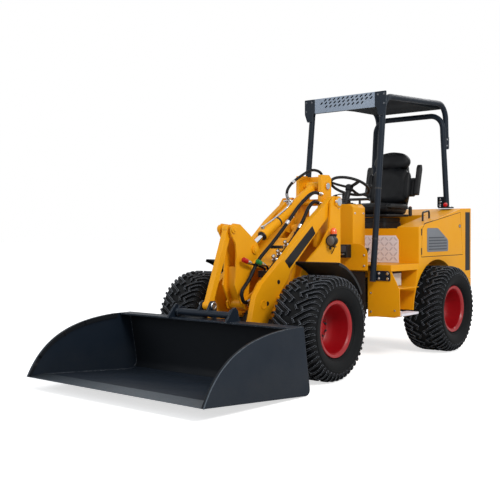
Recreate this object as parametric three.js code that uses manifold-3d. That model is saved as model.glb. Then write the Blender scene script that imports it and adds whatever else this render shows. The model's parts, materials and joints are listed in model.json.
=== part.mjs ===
// Compact articulated wheel loader with a canopy and a general-purpose bucket.
// Millimetres. Front is -Y, the machine's left is +X, up is +Z.
// Every place below is measured from the articulation pin (x = 0, y = 0) and the ground (z = 0).
// The whole machine is then moved along Y so that its bounding box is centred on the origin.
import * as THREE from 'three';
import { mergeVertices } from 'three/addons/utils/BufferGeometryUtils.js';
import Module from 'manifold-3d';

const wasm = await Module();
wasm.setup();

// ---------- driving dimensions ----------
const FRONT_END = -2491;            // cutting edge of the bucket
const REAR_END = 1701;              // rear lamps
const GAP = 0.4;                    // between pieces that touch

const TYRE_RADIUS = 384;
const TYRE_WIDTH = 370;
const TYRE_MIDDLE = 565;            // half the track
const RIM_RADIUS = 208;             // outside of the rim flange
const WHEELBASE = 1896;
const FRONT_AXLE_Y = -WHEELBASE / 2;
const REAR_AXLE_Y = WHEELBASE / 2;
const AXLE_TUBE_RADIUS = 55;
const AXLE_HALF_LENGTH = 395;
const DIFFERENTIAL_RADIUS = 105;
const HUB_FACE = 541 - GAP;         // where the rim disc bolts on

const SHEET = 6;                    // body panels
const HOOD_HALF_WIDTH = 550;
const HOOD_FRONT = 600;
const HOOD_REAR = 1660;
const HOOD_TOP = 1300;
const ARCH_RADIUS = 440;
const ARCH_INNER_X = 360;
const SEAT_DECK_Z = 1108;
const SEAT_DECK_HALF_WIDTH = 335;
const SEAT_DECK_REAR = 1150;

const FLOOR_Z = 800;
const TOE_BOARD_Y = 105;            // rear face of the toe board
const STEP_PANEL_Y = 158;           // front face of the step panels
const CONSOLE_HALF_WIDTH = 187;
const CONSOLE_REAR = 300;
const CONSOLE_TOP = 1320;
const STEERING_HUB = [0, 345, 1487];
const STEERING_TILT = 25;           // degrees, rim top towards the front
const STEERING_WHEEL_RADIUS = 185;

const CANOPY_HALF_WIDTH = 369;      // tube centres
const CANOPY_TUBE = 26;             // tube radius
const CANOPY_FRONT = [312, 2246];   // [y, z] of the front bend
const CANOPY_BACK = [1475, 2306];   // [y, z] of the rear bend
const ROOF_HALF_WIDTH = 342;         // the roof lies between the rails
const HOOP_Y = 1418;
const HOOP_TOP = 2196;
const HOOP_FOOT_X = 414;

const TOWER_OUT = 262;              // outside of the tower side plates
const TOWER_IN = 246;
const CHEEK_IN = 96;                // cheeks that hold the tilt cylinder
const CHEEK_OUT = 128;
const ARM_OUT = 236;
const ARM_IN = 190;
const FRAME_LOW = 446;              // underside of the front frame over its axle

const FENDER_RADIUS = 490;
const FENDER_SHEET = 5;
const FENDER_IN = 380;
const FENDER_OUT = 665;

const BUCKET_HALF_WIDTH = 840;
const BUCKET_CHEEK = 14;
const HEEL = [-1453, 2];
const LIP_Z = 89;                   // height of the cutting edge
const BUCKET_TOP_BACK = [-1525, 467];
const BUCKET_TOP_FRONT = [-1675, 467];

// Pins of the loader arms, as [y, z].
const BOOM_PIN = [-240, 1327];
const TILT_BASE_PIN = [-205, 1462];
const TILT_ROD_PIN = [-1083, 953];
const LEVER_PIN = [-1190, 552];
const LEVER_TOP_PIN = [-1320, 1110];
const LINK_LOW_PIN = [-1535, 560];
const BUCKET_PIN = [-1395, 215];
const LIFT_BASE_PIN = [-620, 480];
const LIFT_ROD_PIN = [-463, 1112];

// Pins of the steering cylinder, as [x, y], and its height.
const STEER_BASE_PIN = [-235, 560];
const STEER_ROD_PIN = [-215, -60];
const STEER_Z = 505;

// ---------- materials ----------
const finish = (color, roughness, metalness) => new THREE.MeshStandardMaterial({ color, roughness, metalness });
const YELLOW = finish(0xf2a81d, 0.35, 0.1);
const SLATE = finish(0x2b333b, 0.45, 0.1);
const RIM_RED = finish(0xb0101c, 0.35, 0.1);
const RUBBER = finish(0x15161a, 0.85, 0);
const BLACK = finish(0x1a1b1d, 0.6, 0);
const CAST = finish(0x34363a, 0.6, 0.4);
const CHROME = finish(0xd9dcdf, 0.12, 1);
const ALUMINIUM = finish(0xb9bcc2, 0.35, 0.9);
const LAMP = finish(0x9aa0a6, 0.2, 0);

// ---------- making and joining solids ----------
function solid(geometry) {
  const bare = geometry.clone();
  bare.deleteAttribute('normal');
  bare.deleteAttribute('uv');
  const merged = mergeVertices(bare, 1e-3);
  const vertProperties = new Float32Array(merged.attributes.position.array);
  const triVerts = new Uint32Array(merged.index.array);
  const body = new wasm.Manifold(new wasm.Mesh({ numProp: 3, vertProperties, triVerts }));
  if (body.volume() > 0) {
    return body;
  }
  return new wasm.Manifold(new wasm.Mesh({ numProp: 3, vertProperties, triVerts: triVerts.reverse() }));
}

function join(...pieces) {
  return pieces.reduce((all, piece) => all.add(piece));
}

function cut(body, ...tools) {
  return tools.reduce((left, tool) => left.subtract(tool), body);
}

function box(x0, x1, y0, y1, z0, z1) {
  const geometry = new THREE.BoxGeometry(x1 - x0, y1 - y0, z1 - z0);
  geometry.translate((x0 + x1) / 2, (y0 + y1) / 2, (z0 + z1) / 2);
  return solid(geometry);
}

function extrude(outline, depth) {
  const shape = outline instanceof THREE.Shape
    ? outline
    : new THREE.Shape(outline.map(([a, b]) => new THREE.Vector2(a, b)));
  return new THREE.ExtrudeGeometry(shape, { depth, bevelEnabled: false, curveSegments: 8 });
}

// An outline in (y, z) made solid between two x planes.
function sidePlate(outline, x0, x1) {
  const geometry = extrude(outline, x1 - x0);
  geometry.applyMatrix4(new THREE.Matrix4().set(0, 0, 1, x0, 1, 0, 0, 0, 0, 1, 0, 0, 0, 0, 0, 1));
  return solid(geometry);
}

// An outline in (x, z) made solid between two y planes.
function crossPanel(outline, y0, y1) {
  const geometry = extrude(outline, y1 - y0);
  geometry.rotateX(Math.PI / 2);
  geometry.translate(0, y1, 0);
  return solid(geometry);
}

// An outline in (x, y) made solid between two heights.
function deck(outline, z0, z1) {
  const geometry = extrude(outline, z1 - z0);
  geometry.translate(0, 0, z0);
  return solid(geometry);
}

function rodX([y, z], radius, x0, x1, sides = 16) {
  const geometry = new THREE.CylinderGeometry(radius, radius, x1 - x0, sides);
  geometry.rotateZ(Math.PI / 2);
  geometry.translate((x0 + x1) / 2, y, z);
  return solid(geometry);
}

function rodZ([x, y], radius, z0, z1, sides = 16) {
  const geometry = new THREE.CylinderGeometry(radius, radius, z1 - z0, sides);
  geometry.rotateX(Math.PI / 2);
  geometry.translate(x, y, (z0 + z1) / 2);
  return solid(geometry);
}

function rodBetween(from, to, radius, sides = 14) {
  const start = new THREE.Vector3(...from);
  const run = new THREE.Vector3(...to).sub(start);
  const geometry = new THREE.CylinderGeometry(radius, radius, run.length(), sides);
  const up = new THREE.Vector3(0, 1, 0);
  geometry.applyQuaternion(new THREE.Quaternion().setFromUnitVectors(up, run.clone().normalize()));
  geometry.translate(...start.addScaledVector(run, 0.5).toArray());
  return solid(geometry);
}

// A path of straight runs whose corners are rounded.
function roundedPath(points, bendRadius) {
  const corners = points.map((point) => new THREE.Vector3(...point));
  const path = new THREE.CurvePath();
  let last = corners[0];
  for (let i = 1; i < corners.length - 1; i += 1) {
    const before = corners[i].distanceTo(corners[i - 1]);
    const after = corners[i].distanceTo(corners[i + 1]);
    const reach = Math.min(bendRadius, before * 0.49, after * 0.49);
    const entry = corners[i].clone().lerp(corners[i - 1], reach / before);
    const exit = corners[i].clone().lerp(corners[i + 1], reach / after);
    path.add(new THREE.LineCurve3(last, entry));
    path.add(new THREE.QuadraticBezierCurve3(entry, corners[i], exit));
    last = exit;
  }
  path.add(new THREE.LineCurve3(last, corners[corners.length - 1]));
  return path;
}

function bentTube(points, bendRadius, tubeRadius, steps, sides = 8) {
  const ring = new THREE.Shape();
  ring.absarc(0, 0, tubeRadius, 0, Math.PI * 2);
  const extrudePath = roundedPath(points, bendRadius);
  return solid(new THREE.ExtrudeGeometry(ring, { steps, curveSegments: sides / 2, extrudePath }));
}

// A hose: a smooth curve through its points.
function hose(points, radius, steps) {
  const ring = new THREE.Shape();
  ring.absarc(0, 0, radius, 0, Math.PI * 2);
  const extrudePath = new THREE.CatmullRomCurve3(points.map((point) => new THREE.Vector3(...point)));
  return solid(new THREE.ExtrudeGeometry(ring, { steps, curveSegments: 4, extrudePath }));
}

function mirrored(piece) {
  return piece.mirror([1, 0, 0]);
}

function bothSides(piece) {
  return piece.add(mirrored(piece));
}

// The point on the line between two [y, z] pins, a distance from the first and an offset to its left.
function pinLine(from, to, distance, offset = 0) {
  const length = Math.hypot(to[0] - from[0], to[1] - from[1]);
  const dy = (to[0] - from[0]) / length;
  const dz = (to[1] - from[1]) / length;
  return [from[0] + dy * distance - dz * offset, from[1] + dz * distance + dy * offset];
}

function pinDistance(from, to) {
  return Math.hypot(to[0] - from[0], to[1] - from[1]);
}

// Each point moved away from the middle of its outline, to leave a slit around a door.
function spread(outline, distance) {
  const middle = [0, 1].map((axis) => outline.reduce((sum, point) => sum + point[axis], 0) / outline.length);
  return outline.map((point) => point.map((value, axis) => value + distance * Math.sign(value - middle[axis])));
}

const loader = new THREE.Group();
loader.position.y = -(FRONT_END + REAR_END) / 2;

function addPart(name, piece, material) {
  const mesh = piece.getMesh();
  const geometry = new THREE.BufferGeometry();
  geometry.setAttribute('position', new THREE.BufferAttribute(new Float32Array(mesh.vertProperties), 3));
  geometry.setIndex(new THREE.BufferAttribute(new Uint32Array(mesh.triVerts), 1));
  const part = new THREE.Mesh(geometry, material);
  part.name = name;
  loader.add(part);
}

function addPair(name, leftPiece, material) {
  addPart(`${name}_left`, leftPiece, material);
  addPart(`${name}_right`, mirrored(leftPiece), material);
}

// ---------- wheels and axles ----------
// Profiles are (distance across the wheel, radius), from its inner face (-) to its outer face (+).
function wheelSolid(profile, segments, side, y) {
  const geometry = new THREE.LatheGeometry(profile.map(([a, r]) => new THREE.Vector2(r, a)), segments);
  geometry.rotateZ(-Math.PI / 2 * side);
  geometry.translate(side * TYRE_MIDDLE, y, TYRE_RADIUS);
  return solid(geometry);
}

function tyre(side, y) {
  const half = TYRE_WIDTH / 2;
  const bead = 136;
  return wheelSolid([
    [-bead, 196], [-bead, 212], [-half + 4, 250], [-half + 2, 330], [-half + 30, 370], [-half + 66, TYRE_RADIUS],
    [half - 66, TYRE_RADIUS], [half - 30, 370], [half - 2, 330], [half - 4, 250], [bead, 212], [bead, 196],
    [-bead, 196],
  ], 32, side, y);
}

function rim(side, y) {
  const flange = 149;
  return wheelSolid([
    [-24, 0], [-24, 88], [-70, 150], [-flange + 6, 178], [-flange, RIM_RADIUS], [-flange + 12, 192],
    [flange - 12, 192], [flange, RIM_RADIUS], [flange - 8, 180], [10, 168], [-40, 146], [-6, 84], [-6, 0],
  ], 24, side, y);
}

function axle(y) {
  const centre = [y, TYRE_RADIUS];
  const tube = rodX(centre, AXLE_TUBE_RADIUS, -AXLE_HALF_LENGTH, AXLE_HALF_LENGTH);
  const differential = rodX(centre, DIFFERENTIAL_RADIUS, -92, 92);
  const drum = rodX(centre, 110, AXLE_HALF_LENGTH - 40, 440);
  const hub = rodX(centre, 82, 430, HUB_FACE);
  return join(tube, differential, bothSides(drum.add(hub)));
}

function addWheels() {
  const corners = [
    ['front_left', 1, FRONT_AXLE_Y], ['front_right', -1, FRONT_AXLE_Y],
    ['rear_left', 1, REAR_AXLE_Y], ['rear_right', -1, REAR_AXLE_Y],
  ];
  for (const [name, side, y] of corners) {
    addPart(`tyre_${name}`, tyre(side, y), RUBBER);
    addPart(`rim_${name}`, rim(side, y), RIM_RED);
  }
  addPart('front_axle', axle(FRONT_AXLE_Y), CAST);
  addPart('rear_axle', axle(REAR_AXLE_Y), CAST);
}

// ---------- rear chassis ----------
const RAIL_IN = 112;
const RAIL_OUT = 130;
const RAIL_HIGH = 620;
const PIVOT_RADIUS = 30;

// A rounded lug that reaches from the articulation pin to the plane y = reach.
function pivotLug(z0, z1, holeRadius, reach) {
  const plate = deck([[-90, 0], [90, 0], [90, reach], [-90, reach]], z0, z1);
  return cut(plate.add(rodZ([0, 0], 90, z0, z1)), rodZ([0, 0], holeRadius, z0 - 5, z1 + 5));
}

function axleSaddle(y, xOut) {
  const block = box(100, xOut, y - 52, y + 52, TYRE_RADIUS + 41, FRAME_LOW + 2);
  return bothSides(cut(block, rodX([y, TYRE_RADIUS], AXLE_TUBE_RADIUS + GAP, 90, xOut + 10)));
}

function rearFrame() {
  const rails = bothSides(box(RAIL_IN, RAIL_OUT, 118, 1390, FRAME_LOW, RAIL_HIGH));
  const crossMembers = [118, 660, 1374].map((y) => box(-RAIL_OUT, RAIL_OUT, y, y + 16, FRAME_LOW, RAIL_HIGH));
  const pivotWall = box(-90, 90, 118, 134, 340, RAIL_HIGH);
  const lugs = join(pivotLug(350, 374, PIVOT_RADIUS - 1, 125), pivotLug(590, 614, PIVOT_RADIUS - 1, 125));
  const pin = rodZ([0, 0], PIVOT_RADIUS, 340, 634);
  const splashPlate = box(RAIL_OUT - 2, 296, 118, 124, 350, 742);
  const bodyBearers = bothSides(box(RAIL_OUT - 2, 353, 1150, 1180, 540, 620));
  const earOutline = [[-RAIL_OUT + 1, 510], [-RAIL_OUT + 1, 610], [-250, 600], [-272, 560], [-250, 522]];
  const ears = [STEER_Z - 42, STEER_Z + 30].map((z) => deck(earOutline, z, z + 12));
  const steerPin = rodZ(STEER_BASE_PIN, 14, STEER_Z - 48, STEER_Z + 48);
  const engineFeet = bothSides(box(60, RAIL_IN + 1, 1080, 1110, 560, 636));
  return join(
    rails, ...crossMembers, pivotWall, lugs, pin, splashPlate, bodyBearers, ...ears, steerPin, engineFeet,
    axleSaddle(REAR_AXLE_Y, RAIL_OUT),
  );
}

function counterweight() {
  const profile = [
    [1400, 626], [1400, 420], [1450, 345], [HOOD_REAR - 40, 345], [HOOD_REAR, 385], [HOOD_REAR, 626],
  ];
  const block = sidePlate(profile, -HOOD_HALF_WIDTH, HOOD_HALF_WIDTH);
  return cut(block, box(-70, 70, HOOD_REAR - 60, HOOD_REAR + 5, 430, 540));
}

function towHitch() {
  const jaws = [448, 504].map((z) => box(-45, 45, HOOD_REAR - 64, REAR_END - 4, z, z + 18));
  const pin = rodZ([0, HOOD_REAR + 12], 13, 440, 560, 12);
  return join(...jaws, pin);
}

// ---------- hood ----------
const DOOR = [[652, 857], [669, 1104], [722, 1147], [1425, 1256], [1480, 857]];
const ENGINE_GRILLE = [[-390, 700], [390, 700], [390, 1190], [-390, 1190]];

function wheelWell(radius, innerX) {
  return bothSides(rodX([REAR_AXLE_Y, TYRE_RADIUS], radius, innerX, HOOD_HALF_WIDTH + 20, 40));
}

function hood() {
  const edge = HOOD_HALF_WIDTH;
  const side = [
    [HOOD_FRONT, 1120], [HOOD_FRONT, 745], [577, 745], [488, 400], [700, 400], [700, 628], [HOOD_REAR, 628],
    [HOOD_REAR, HOOD_TOP], [1450, HOOD_TOP - 4],
  ];
  const inside = [
    [HOOD_FRONT + SHEET, 1114], [HOOD_FRONT + SHEET, 300], [HOOD_REAR - SHEET, 300],
    [HOOD_REAR - SHEET, HOOD_TOP - SHEET], [1450, HOOD_TOP - 10],
  ];
  const deckTop = box(
    -SEAT_DECK_HALF_WIDTH, SEAT_DECK_HALF_WIDTH, HOOD_FRONT - 5, SEAT_DECK_REAR, SEAT_DECK_Z, HOOD_TOP + 50,
  );
  const deckUnder = box(
    -SEAT_DECK_HALF_WIDTH - SHEET, SEAT_DECK_HALF_WIDTH + SHEET, HOOD_FRONT - 5, SEAT_DECK_REAR + SHEET,
    SEAT_DECK_Z - SHEET, HOOD_TOP + 60,
  );
  const hollow = cut(
    sidePlate(inside, -edge + SHEET, edge - SHEET),
    wheelWell(ARCH_RADIUS + SHEET, ARCH_INNER_X - SHEET),
    deckUnder,
  );
  const shell = cut(
    sidePlate(side, -edge, edge), deckTop, wheelWell(ARCH_RADIUS, ARCH_INNER_X), hollow,
    box(-ARCH_INNER_X + SHEET, ARCH_INNER_X - SHEET, 480, HOOD_REAR - SHEET, 300, 775),
  );
  const doorway = sidePlate(spread(DOOR, 5), edge - 15, edge + 15);
  const grilleHole = crossPanel(spread(ENGINE_GRILLE, 1), HOOD_REAR - 20, HOOD_REAR + 20);
  return cut(shell, bothSides(doorway), grilleHole);
}

function hoodDoor() {
  return sidePlate(DOOR, HOOD_HALF_WIDTH - SHEET, HOOD_HALF_WIDTH);
}

function rearGrille() {
  const slots = [];
  for (let z = 740; z < 1160; z += 60) {
    slots.push(box(-350, 350, HOOD_REAR - 20, HOOD_REAR + 20, z, z + 30));
  }
  return cut(crossPanel(ENGINE_GRILLE, HOOD_REAR - SHEET, HOOD_REAR), ...slots);
}

function rearLamp() {
  return box(405, 530, HOOD_REAR + GAP, REAR_END, 450, 570);
}

function addRearBody() {
  addPart('rear_frame', rearFrame(), BLACK);
  addPart('engine', box(-200, 200, 1010, 1480, 640, 1040), CAST);
  addPart('counterweight', counterweight().add(towHitch()), YELLOW);
  addPart('hood', hood(), YELLOW);
  addPair('hood_door', hoodDoor(), YELLOW);
  addPart('rear_grille', rearGrille(), BLACK);
  addPair('rear_lamp', rearLamp(), LAMP);
}

// ---------- operator's place ----------
function floorPan() {
  const front = TOE_BOARD_Y - 1;
  const plate = deck([
    [-330, front], [330, front], [330, 170], [520, 170], [HOOD_HALF_WIDTH, HOOD_FRONT - GAP],
    [-HOOD_HALF_WIDTH, HOOD_FRONT - GAP], [-520, 170], [-330, 170],
  ], FLOOR_Z - 8, FLOOR_Z);
  const skirt = deck([
    [512, 170], [520, 170], [HOOD_HALF_WIDTH, HOOD_FRONT - GAP], [HOOD_HALF_WIDTH - 8, HOOD_FRONT - GAP],
  ], 746, FLOOR_Z - 4);
  const apron = box(350, 516, 170, 176, 746, FLOOR_Z - 4);
  return join(plate, bothSides(skirt.add(apron)));
}

function toeBoard() {
  const outline = new THREE.Shape();
  outline.moveTo(-334, 752);
  outline.lineTo(334, 752);
  outline.lineTo(334, 880);
  outline.absarc(234, 880, 100, 0, Math.PI / 2);
  outline.lineTo(-234, 980);
  outline.absarc(-234, 880, 100, Math.PI / 2, Math.PI);
  return crossPanel(outline, TOE_BOARD_Y - 8, TOE_BOARD_Y);
}

function dashConsole() {
  const x = CONSOLE_HALF_WIDTH;
  const front = TOE_BOARD_Y + GAP;
  const outer = crossPanel([
    [-x, FLOOR_Z + GAP], [x, FLOOR_Z + GAP], [x, CONSOLE_TOP - 30], [x - 30, CONSOLE_TOP],
    [-x + 30, CONSOLE_TOP], [-x, CONSOLE_TOP - 30],
  ], front, CONSOLE_REAR);
  const hollow = box(-x + SHEET, x - SHEET, front + SHEET, CONSOLE_REAR - SHEET, FLOOR_Z - 20, CONSOLE_TOP - 36);
  return cut(outer, hollow);
}

const STEERING_AXIS = [0, Math.sin(STEERING_TILT * Math.PI / 180), Math.cos(STEERING_TILT * Math.PI / 180)];

function steeringPoint(distance) {
  return STEERING_HUB.map((value, axis) => value + STEERING_AXIS[axis] * distance);
}

function steeringColumn() {
  const tube = rodBetween(steeringPoint(-230), steeringPoint(-46), 24);
  const boot = rodBetween(steeringPoint(-230), steeringPoint(-130), 46);
  return cut(tube.add(boot), box(-100, 100, 100, 500, 1100, CONSOLE_TOP + GAP));
}

function steeringWheel() {
  const ring = new THREE.TorusGeometry(STEERING_WHEEL_RADIUS - 13, 13, 8, 28);
  ring.rotateX(-STEERING_TILT * Math.PI / 180);
  ring.translate(...STEERING_HUB);
  const hub = rodBetween(steeringPoint(-44), steeringPoint(10), 34, 14);
  const spokes = [90, 210, 330].map((turn) => {
    const angle = turn * Math.PI / 180;
    const reach = STEERING_WHEEL_RADIUS - 14;
    const across = Math.cos(angle) * reach;
    const up = Math.sin(angle) * reach;
    const end = [across, STEERING_HUB[1] - up * STEERING_AXIS[2], STEERING_HUB[2] + up * STEERING_AXIS[1]];
    return rodBetween(steeringPoint(-8), end, 11, 8);
  });
  return join(solid(ring), hub, ...spokes);
}

function valveBox() {
  return box(45, 175, 20, TOE_BOARD_Y - 8 - GAP, 860, 972);
}

function seatBase() {
  return box(-165, 165, 690, 1010, SEAT_DECK_Z + GAP, 1215);
}

function seatCushion() {
  return sidePlate([
    [640, 1250], [655, 1222], [1050, 1216], [1050, 1326], [980, 1330], [700, 1334], [655, 1316],
  ], -232, 232);
}

function seatBack() {
  const profile = [
    [990, 1334], [1090, 1334], [1160, 1650], [1168, 1800], [1120, 1826], [1075, 1800], [1056, 1660], [1006, 1440],
  ];
  const silhouette = new THREE.Shape();
  const edge = [[190, 1240], [242, 1440], [238, 1540], [214, 1670], [196, 1785], [150, 1830]];
  const farEdge = edge.map(([x, z]) => [-x, z]).reverse();
  silhouette.setFromPoints([...edge, ...farEdge].map(([x, z]) => new THREE.Vector2(x, z)));
  return sidePlate(profile, -240, 240).intersect(crossPanel(silhouette, 900, 1250));
}

// An armrest folded up beside the backrest.
function armrest() {
  return sidePlate([[1058, 1424], [1106, 1414], [1172, 1664], [1166, 1712], [1136, 1718], [1112, 1682]], 248, 290);
}

function step() {
  return box(500, 618, 175, 470, 373, 393);
}

function stepBox() {
  const frontOutline = [[300, 353], [609, 378], [603, 599], [529, 744], [300, 744]];
  const front = crossPanel(frontOutline, STEP_PANEL_Y, STEP_PANEL_Y + 8);
  const wall = box(300, 306, STEP_PANEL_Y + 2, 470, 360, 744);
  const shelf = box(300, 600, STEP_PANEL_Y + 2, 500, 600, 606);
  const bottom = box(300, 560, STEP_PANEL_Y + 2, 470, 360, 372);
  return join(front, wall, shelf, bottom);
}

function addOperatorPlace() {
  addPart('floor_pan', floorPan().add(toeBoard()), YELLOW);
  addPart('console', dashConsole(), YELLOW);
  addPart('steering_column', steeringColumn(), BLACK);
  addPart('steering_wheel', steeringWheel(), BLACK);
  addPart('valve_box', valveBox(), BLACK);
  addPart('seat_base', seatBase(), BLACK);
  addPart('seat_cushion', seatCushion(), BLACK);
  addPart('seat_back', seatBack(), BLACK);
  addPair('armrest', armrest(), BLACK);
  addPair('step_box', stepBox(), YELLOW);
  addPair('step', step(), ALUMINIUM);
}

// ---------- canopy ----------
function canopyRail() {
  const x = CANOPY_HALF_WIDTH;
  const tube = bentTube([
    [x + 2, 119, 660], [x, ...CANOPY_FRONT], [x, ...CANOPY_BACK], [x + 10, CANOPY_BACK[0] + 2, 1873],
  ], 140, CANOPY_TUBE, 30);
  const footPlate = box(x - 10, 521, 150, STEP_PANEL_Y - GAP, 667, 740);
  return tube.add(footPlate);
}

function rearHoop() {
  const arch = bentTube([
    [HOOP_FOOT_X, HOOP_Y, HOOD_TOP - 6], [CANOPY_HALF_WIDTH - 6, HOOP_Y, HOOP_TOP],
    [-CANOPY_HALF_WIDTH + 6, HOOP_Y, HOOP_TOP], [-HOOP_FOOT_X, HOOP_Y, HOOD_TOP - 6],
  ], 130, CANOPY_TUBE, 30);
  const feet = bothSides(box(330, 470, HOOP_Y - 45, HOOP_Y + 45, HOOD_TOP + GAP, HOOD_TOP + 12));
  const webs = bothSides(box(316, 400, HOOP_Y - 4, HOOP_Y + 4, HOOD_TOP + 6, HOOD_TOP + 112));
  return cut(join(arch, feet, webs), box(-600, 600, HOOP_Y - 200, HOOP_Y + 200, HOOD_TOP - 60, HOOD_TOP + GAP));
}

function roofPanel() {
  const outline = [[262, 2238], [1430, 2254], [1430, 2270], [262, 2254]];
  return sidePlate(outline, -ROOF_HALF_WIDTH, ROOF_HALF_WIDTH);
}

function visor() {
  const holes = [];
  for (let row = 0; row < 3; row += 1) {
    for (let i = 0; i < 9; i += 1) {
      const x = -264 + i * 64 + (row % 2) * 24;
      const z = 2188 + row * 30;
      holes.push(crossPanel([[x - 20, z - 7], [x + 12, z - 7], [x + 20, z + 7], [x - 12, z + 7]], 200, 300));
    }
  }
  const panel = crossPanel([
    [-425, 2281], [-425, 2150], [-395, 2075], [-350, 2075], [-330, 2160], [330, 2160], [350, 2075],
    [395, 2075], [425, 2150], [425, 2281],
  ], 255, 261);
  return cut(panel, ...holes);
}

function addCanopy() {
  addPair('canopy_rail', canopyRail(), SLATE);
  addPart('rear_hoop', rearHoop(), SLATE);
  addPart('roof_panel', roofPanel(), SLATE);
  addPart('visor', visor(), SLATE);
}

// ---------- front frame ----------
function frontFrame() {
  const sidePlates = sidePlate([
    [-205, 370], [-205, 1345], [-232, 1374], [-300, 1370], [-345, 1320], [-370, 1110], [-480, 985],
    [-700, 840], [-800, 700], [-1040, 600], [-1040, FRAME_LOW], [-520, FRAME_LOW], [-450, 370],
  ], TOWER_IN, TOWER_OUT);
  const floorPlate = cut(
    box(-TOWER_IN - 1, TOWER_IN + 1, -1040, -450, FRAME_LOW, FRAME_LOW + 12),
    box(-56, 56, LIFT_BASE_PIN[0] - 60, LIFT_BASE_PIN[0] + 60, 400, 500),
    box(-100, 100, FRONT_AXLE_Y - 120, FRONT_AXLE_Y + 120, 400, 500),
  );
  const rearWall = box(-TOWER_IN - 1, TOWER_IN + 1, -221, -205, 370, 1080);
  const lowerWall = box(-TOWER_IN - 1, TOWER_IN + 1, -466, -450, 370, FRAME_LOW + 14);
  const underTray = box(-TOWER_IN - 1, TOWER_IN + 1, -460, -206, 370, 384);
  const cheeks = bothSides(sidePlate([
    [-140, 960], [-140, 1530], [-170, 1556], [-285, 1553], [-292, 1300], [-350, 1100], [-360, 960],
  ], CHEEK_IN, CHEEK_OUT));
  const cheekTie = box(-CHEEK_IN - 1, CHEEK_IN + 1, -152, -140, 1440, 1548);
  const boomPin = rodX(BOOM_PIN, 28, -TOWER_OUT - 14, TOWER_OUT + 14);
  const bosses = bothSides(rodX(BOOM_PIN, 46, TOWER_OUT - 2, TOWER_OUT + 8));
  const tiltPin = rodX(TILT_BASE_PIN, 20, -CHEEK_OUT - 12, CHEEK_OUT + 12, 16);
  const liftLugs = bothSides(sidePlate([
    [LIFT_BASE_PIN[0] - 70, FRAME_LOW + 2], [LIFT_BASE_PIN[0] + 70, FRAME_LOW + 2],
    [LIFT_BASE_PIN[0] + 34, 520], [LIFT_BASE_PIN[0] - 34, 520],
  ], 57, 75));
  const liftPin = rodX(LIFT_BASE_PIN, 20, -84, 84, 16);
  const lugs = join(pivotLug(384, 402, PIVOT_RADIUS + 2, -210), pivotLug(562, 580, PIVOT_RADIUS + 2, -210));
  const earOutline = [
    [-150, -215], [-245, -215], [-250, -60], [-232, -32], [-198, -32], [-180, -60], [-160, -205],
  ];
  const ears = [STEER_Z - 44, STEER_Z + 32].map((z) => deck(earOutline, z, z + 12));
  const frame = join(
    bothSides(sidePlates), floorPlate, rearWall, lowerWall, underTray, cheeks, cheekTie, boomPin, bosses,
    tiltPin, liftLugs, liftPin, lugs, ...ears, axleSaddle(FRONT_AXLE_Y, TOWER_OUT),
  );
  return frame;
}

function fender() {
  const arc = new THREE.Shape();
  const front = 76 * Math.PI / 180;
  const back = 28 * Math.PI / 180;
  arc.absarc(FRONT_AXLE_Y, TYRE_RADIUS, FENDER_RADIUS, back, front, false);
  arc.absarc(FRONT_AXLE_Y, TYRE_RADIUS, FENDER_RADIUS - FENDER_SHEET, front, back, true);
  const sheet = sidePlate(arc, FENDER_IN, FENDER_OUT);
  const arm = box(TOWER_OUT + GAP, FENDER_IN + 90, -640, -600, 700, 716);
  const post = box(FENDER_IN + 60, FENDER_IN + 90, -640, -600, 700, 745);
  return join(sheet, arm, post);
}

// A round work lamp on a stalk, with the indicator on top of it.
function headlight() {
  const lamp = rodBetween([312, -358, 1012], [312, -428, 1012], 44, 16);
  const indicator = rodBetween([312, -382, 1040], [312, -382, 1108], 29, 14);
  const stalk = box(TOWER_OUT + GAP, 318, -375, -345, 1000, 1024);
  return join(lamp, indicator, stalk);
}

function addFrontFrame() {
  addPart('front_frame', frontFrame(), YELLOW);
  addPair('fender', fender(), BLACK);
  addPair('headlight', headlight(), BLACK);
}

// ---------- loader arms ----------
function boom() {
  const arm = cut(sidePlate([
    [-250, 1376], [-332, 1342], [-588, 1178], [-955, 886], [-1202, 707], [-1280, 619], [-1330, 454],
    [-1425, 262], [-1445, 215], [-1425, 172], [-1375, 168], [-1290, 240], [-1180, 360], [-1129, 434],
    [-1067, 543], [-1004, 609], [-892, 729], [-851, 796], [-510, 1076], [-262, 1270], [-206, 1290], [-194, 1327],
    [-210, 1362],
  ], ARM_IN, ARM_OUT), rodX(BOOM_PIN, 30, ARM_IN - 5, ARM_OUT + 5), rodX(BUCKET_PIN, 24, ARM_IN - 5, ARM_OUT + 5));
  const recessedPlate = cut(
    sidePlate([
      [-430, 1205], [-1072, 690], [-1136, 615], [-1112, 556], [-1066, 545], [-1060, 562], [-1094, 572],
      [-1114, 612], [-1062, 676], [-422, 1193],
    ], -ARM_IN - 1, ARM_IN + 1),
    box(-41, 41, -640, -390, 1000, 1250),
    box(-68, 68, -1160, -900, 530, 860),
  );
  const leverLugs = bothSides(cut(sidePlate([
    [-1000, 640], [-1120, 640], [-1200, 602], [-1238, 560], [-1222, 512], [-1180, 500], [-1100, 530], [-1010, 600],
  ], 74, 92), rodX(LEVER_PIN, 22, 70, 96, 16)));
  const liftLugs = bothSides(sidePlate([
    [-430, 1195], [-560, 1092], [-500, 1076], [-440, 1078], [-420, 1110],
  ], 42, 60));
  const liftBosses = bothSides(rodX(LIFT_ROD_PIN, 30, 58, 72, 16));
  return join(bothSides(arm), recessedPlate, leverLugs, liftLugs, liftBosses);
}

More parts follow.
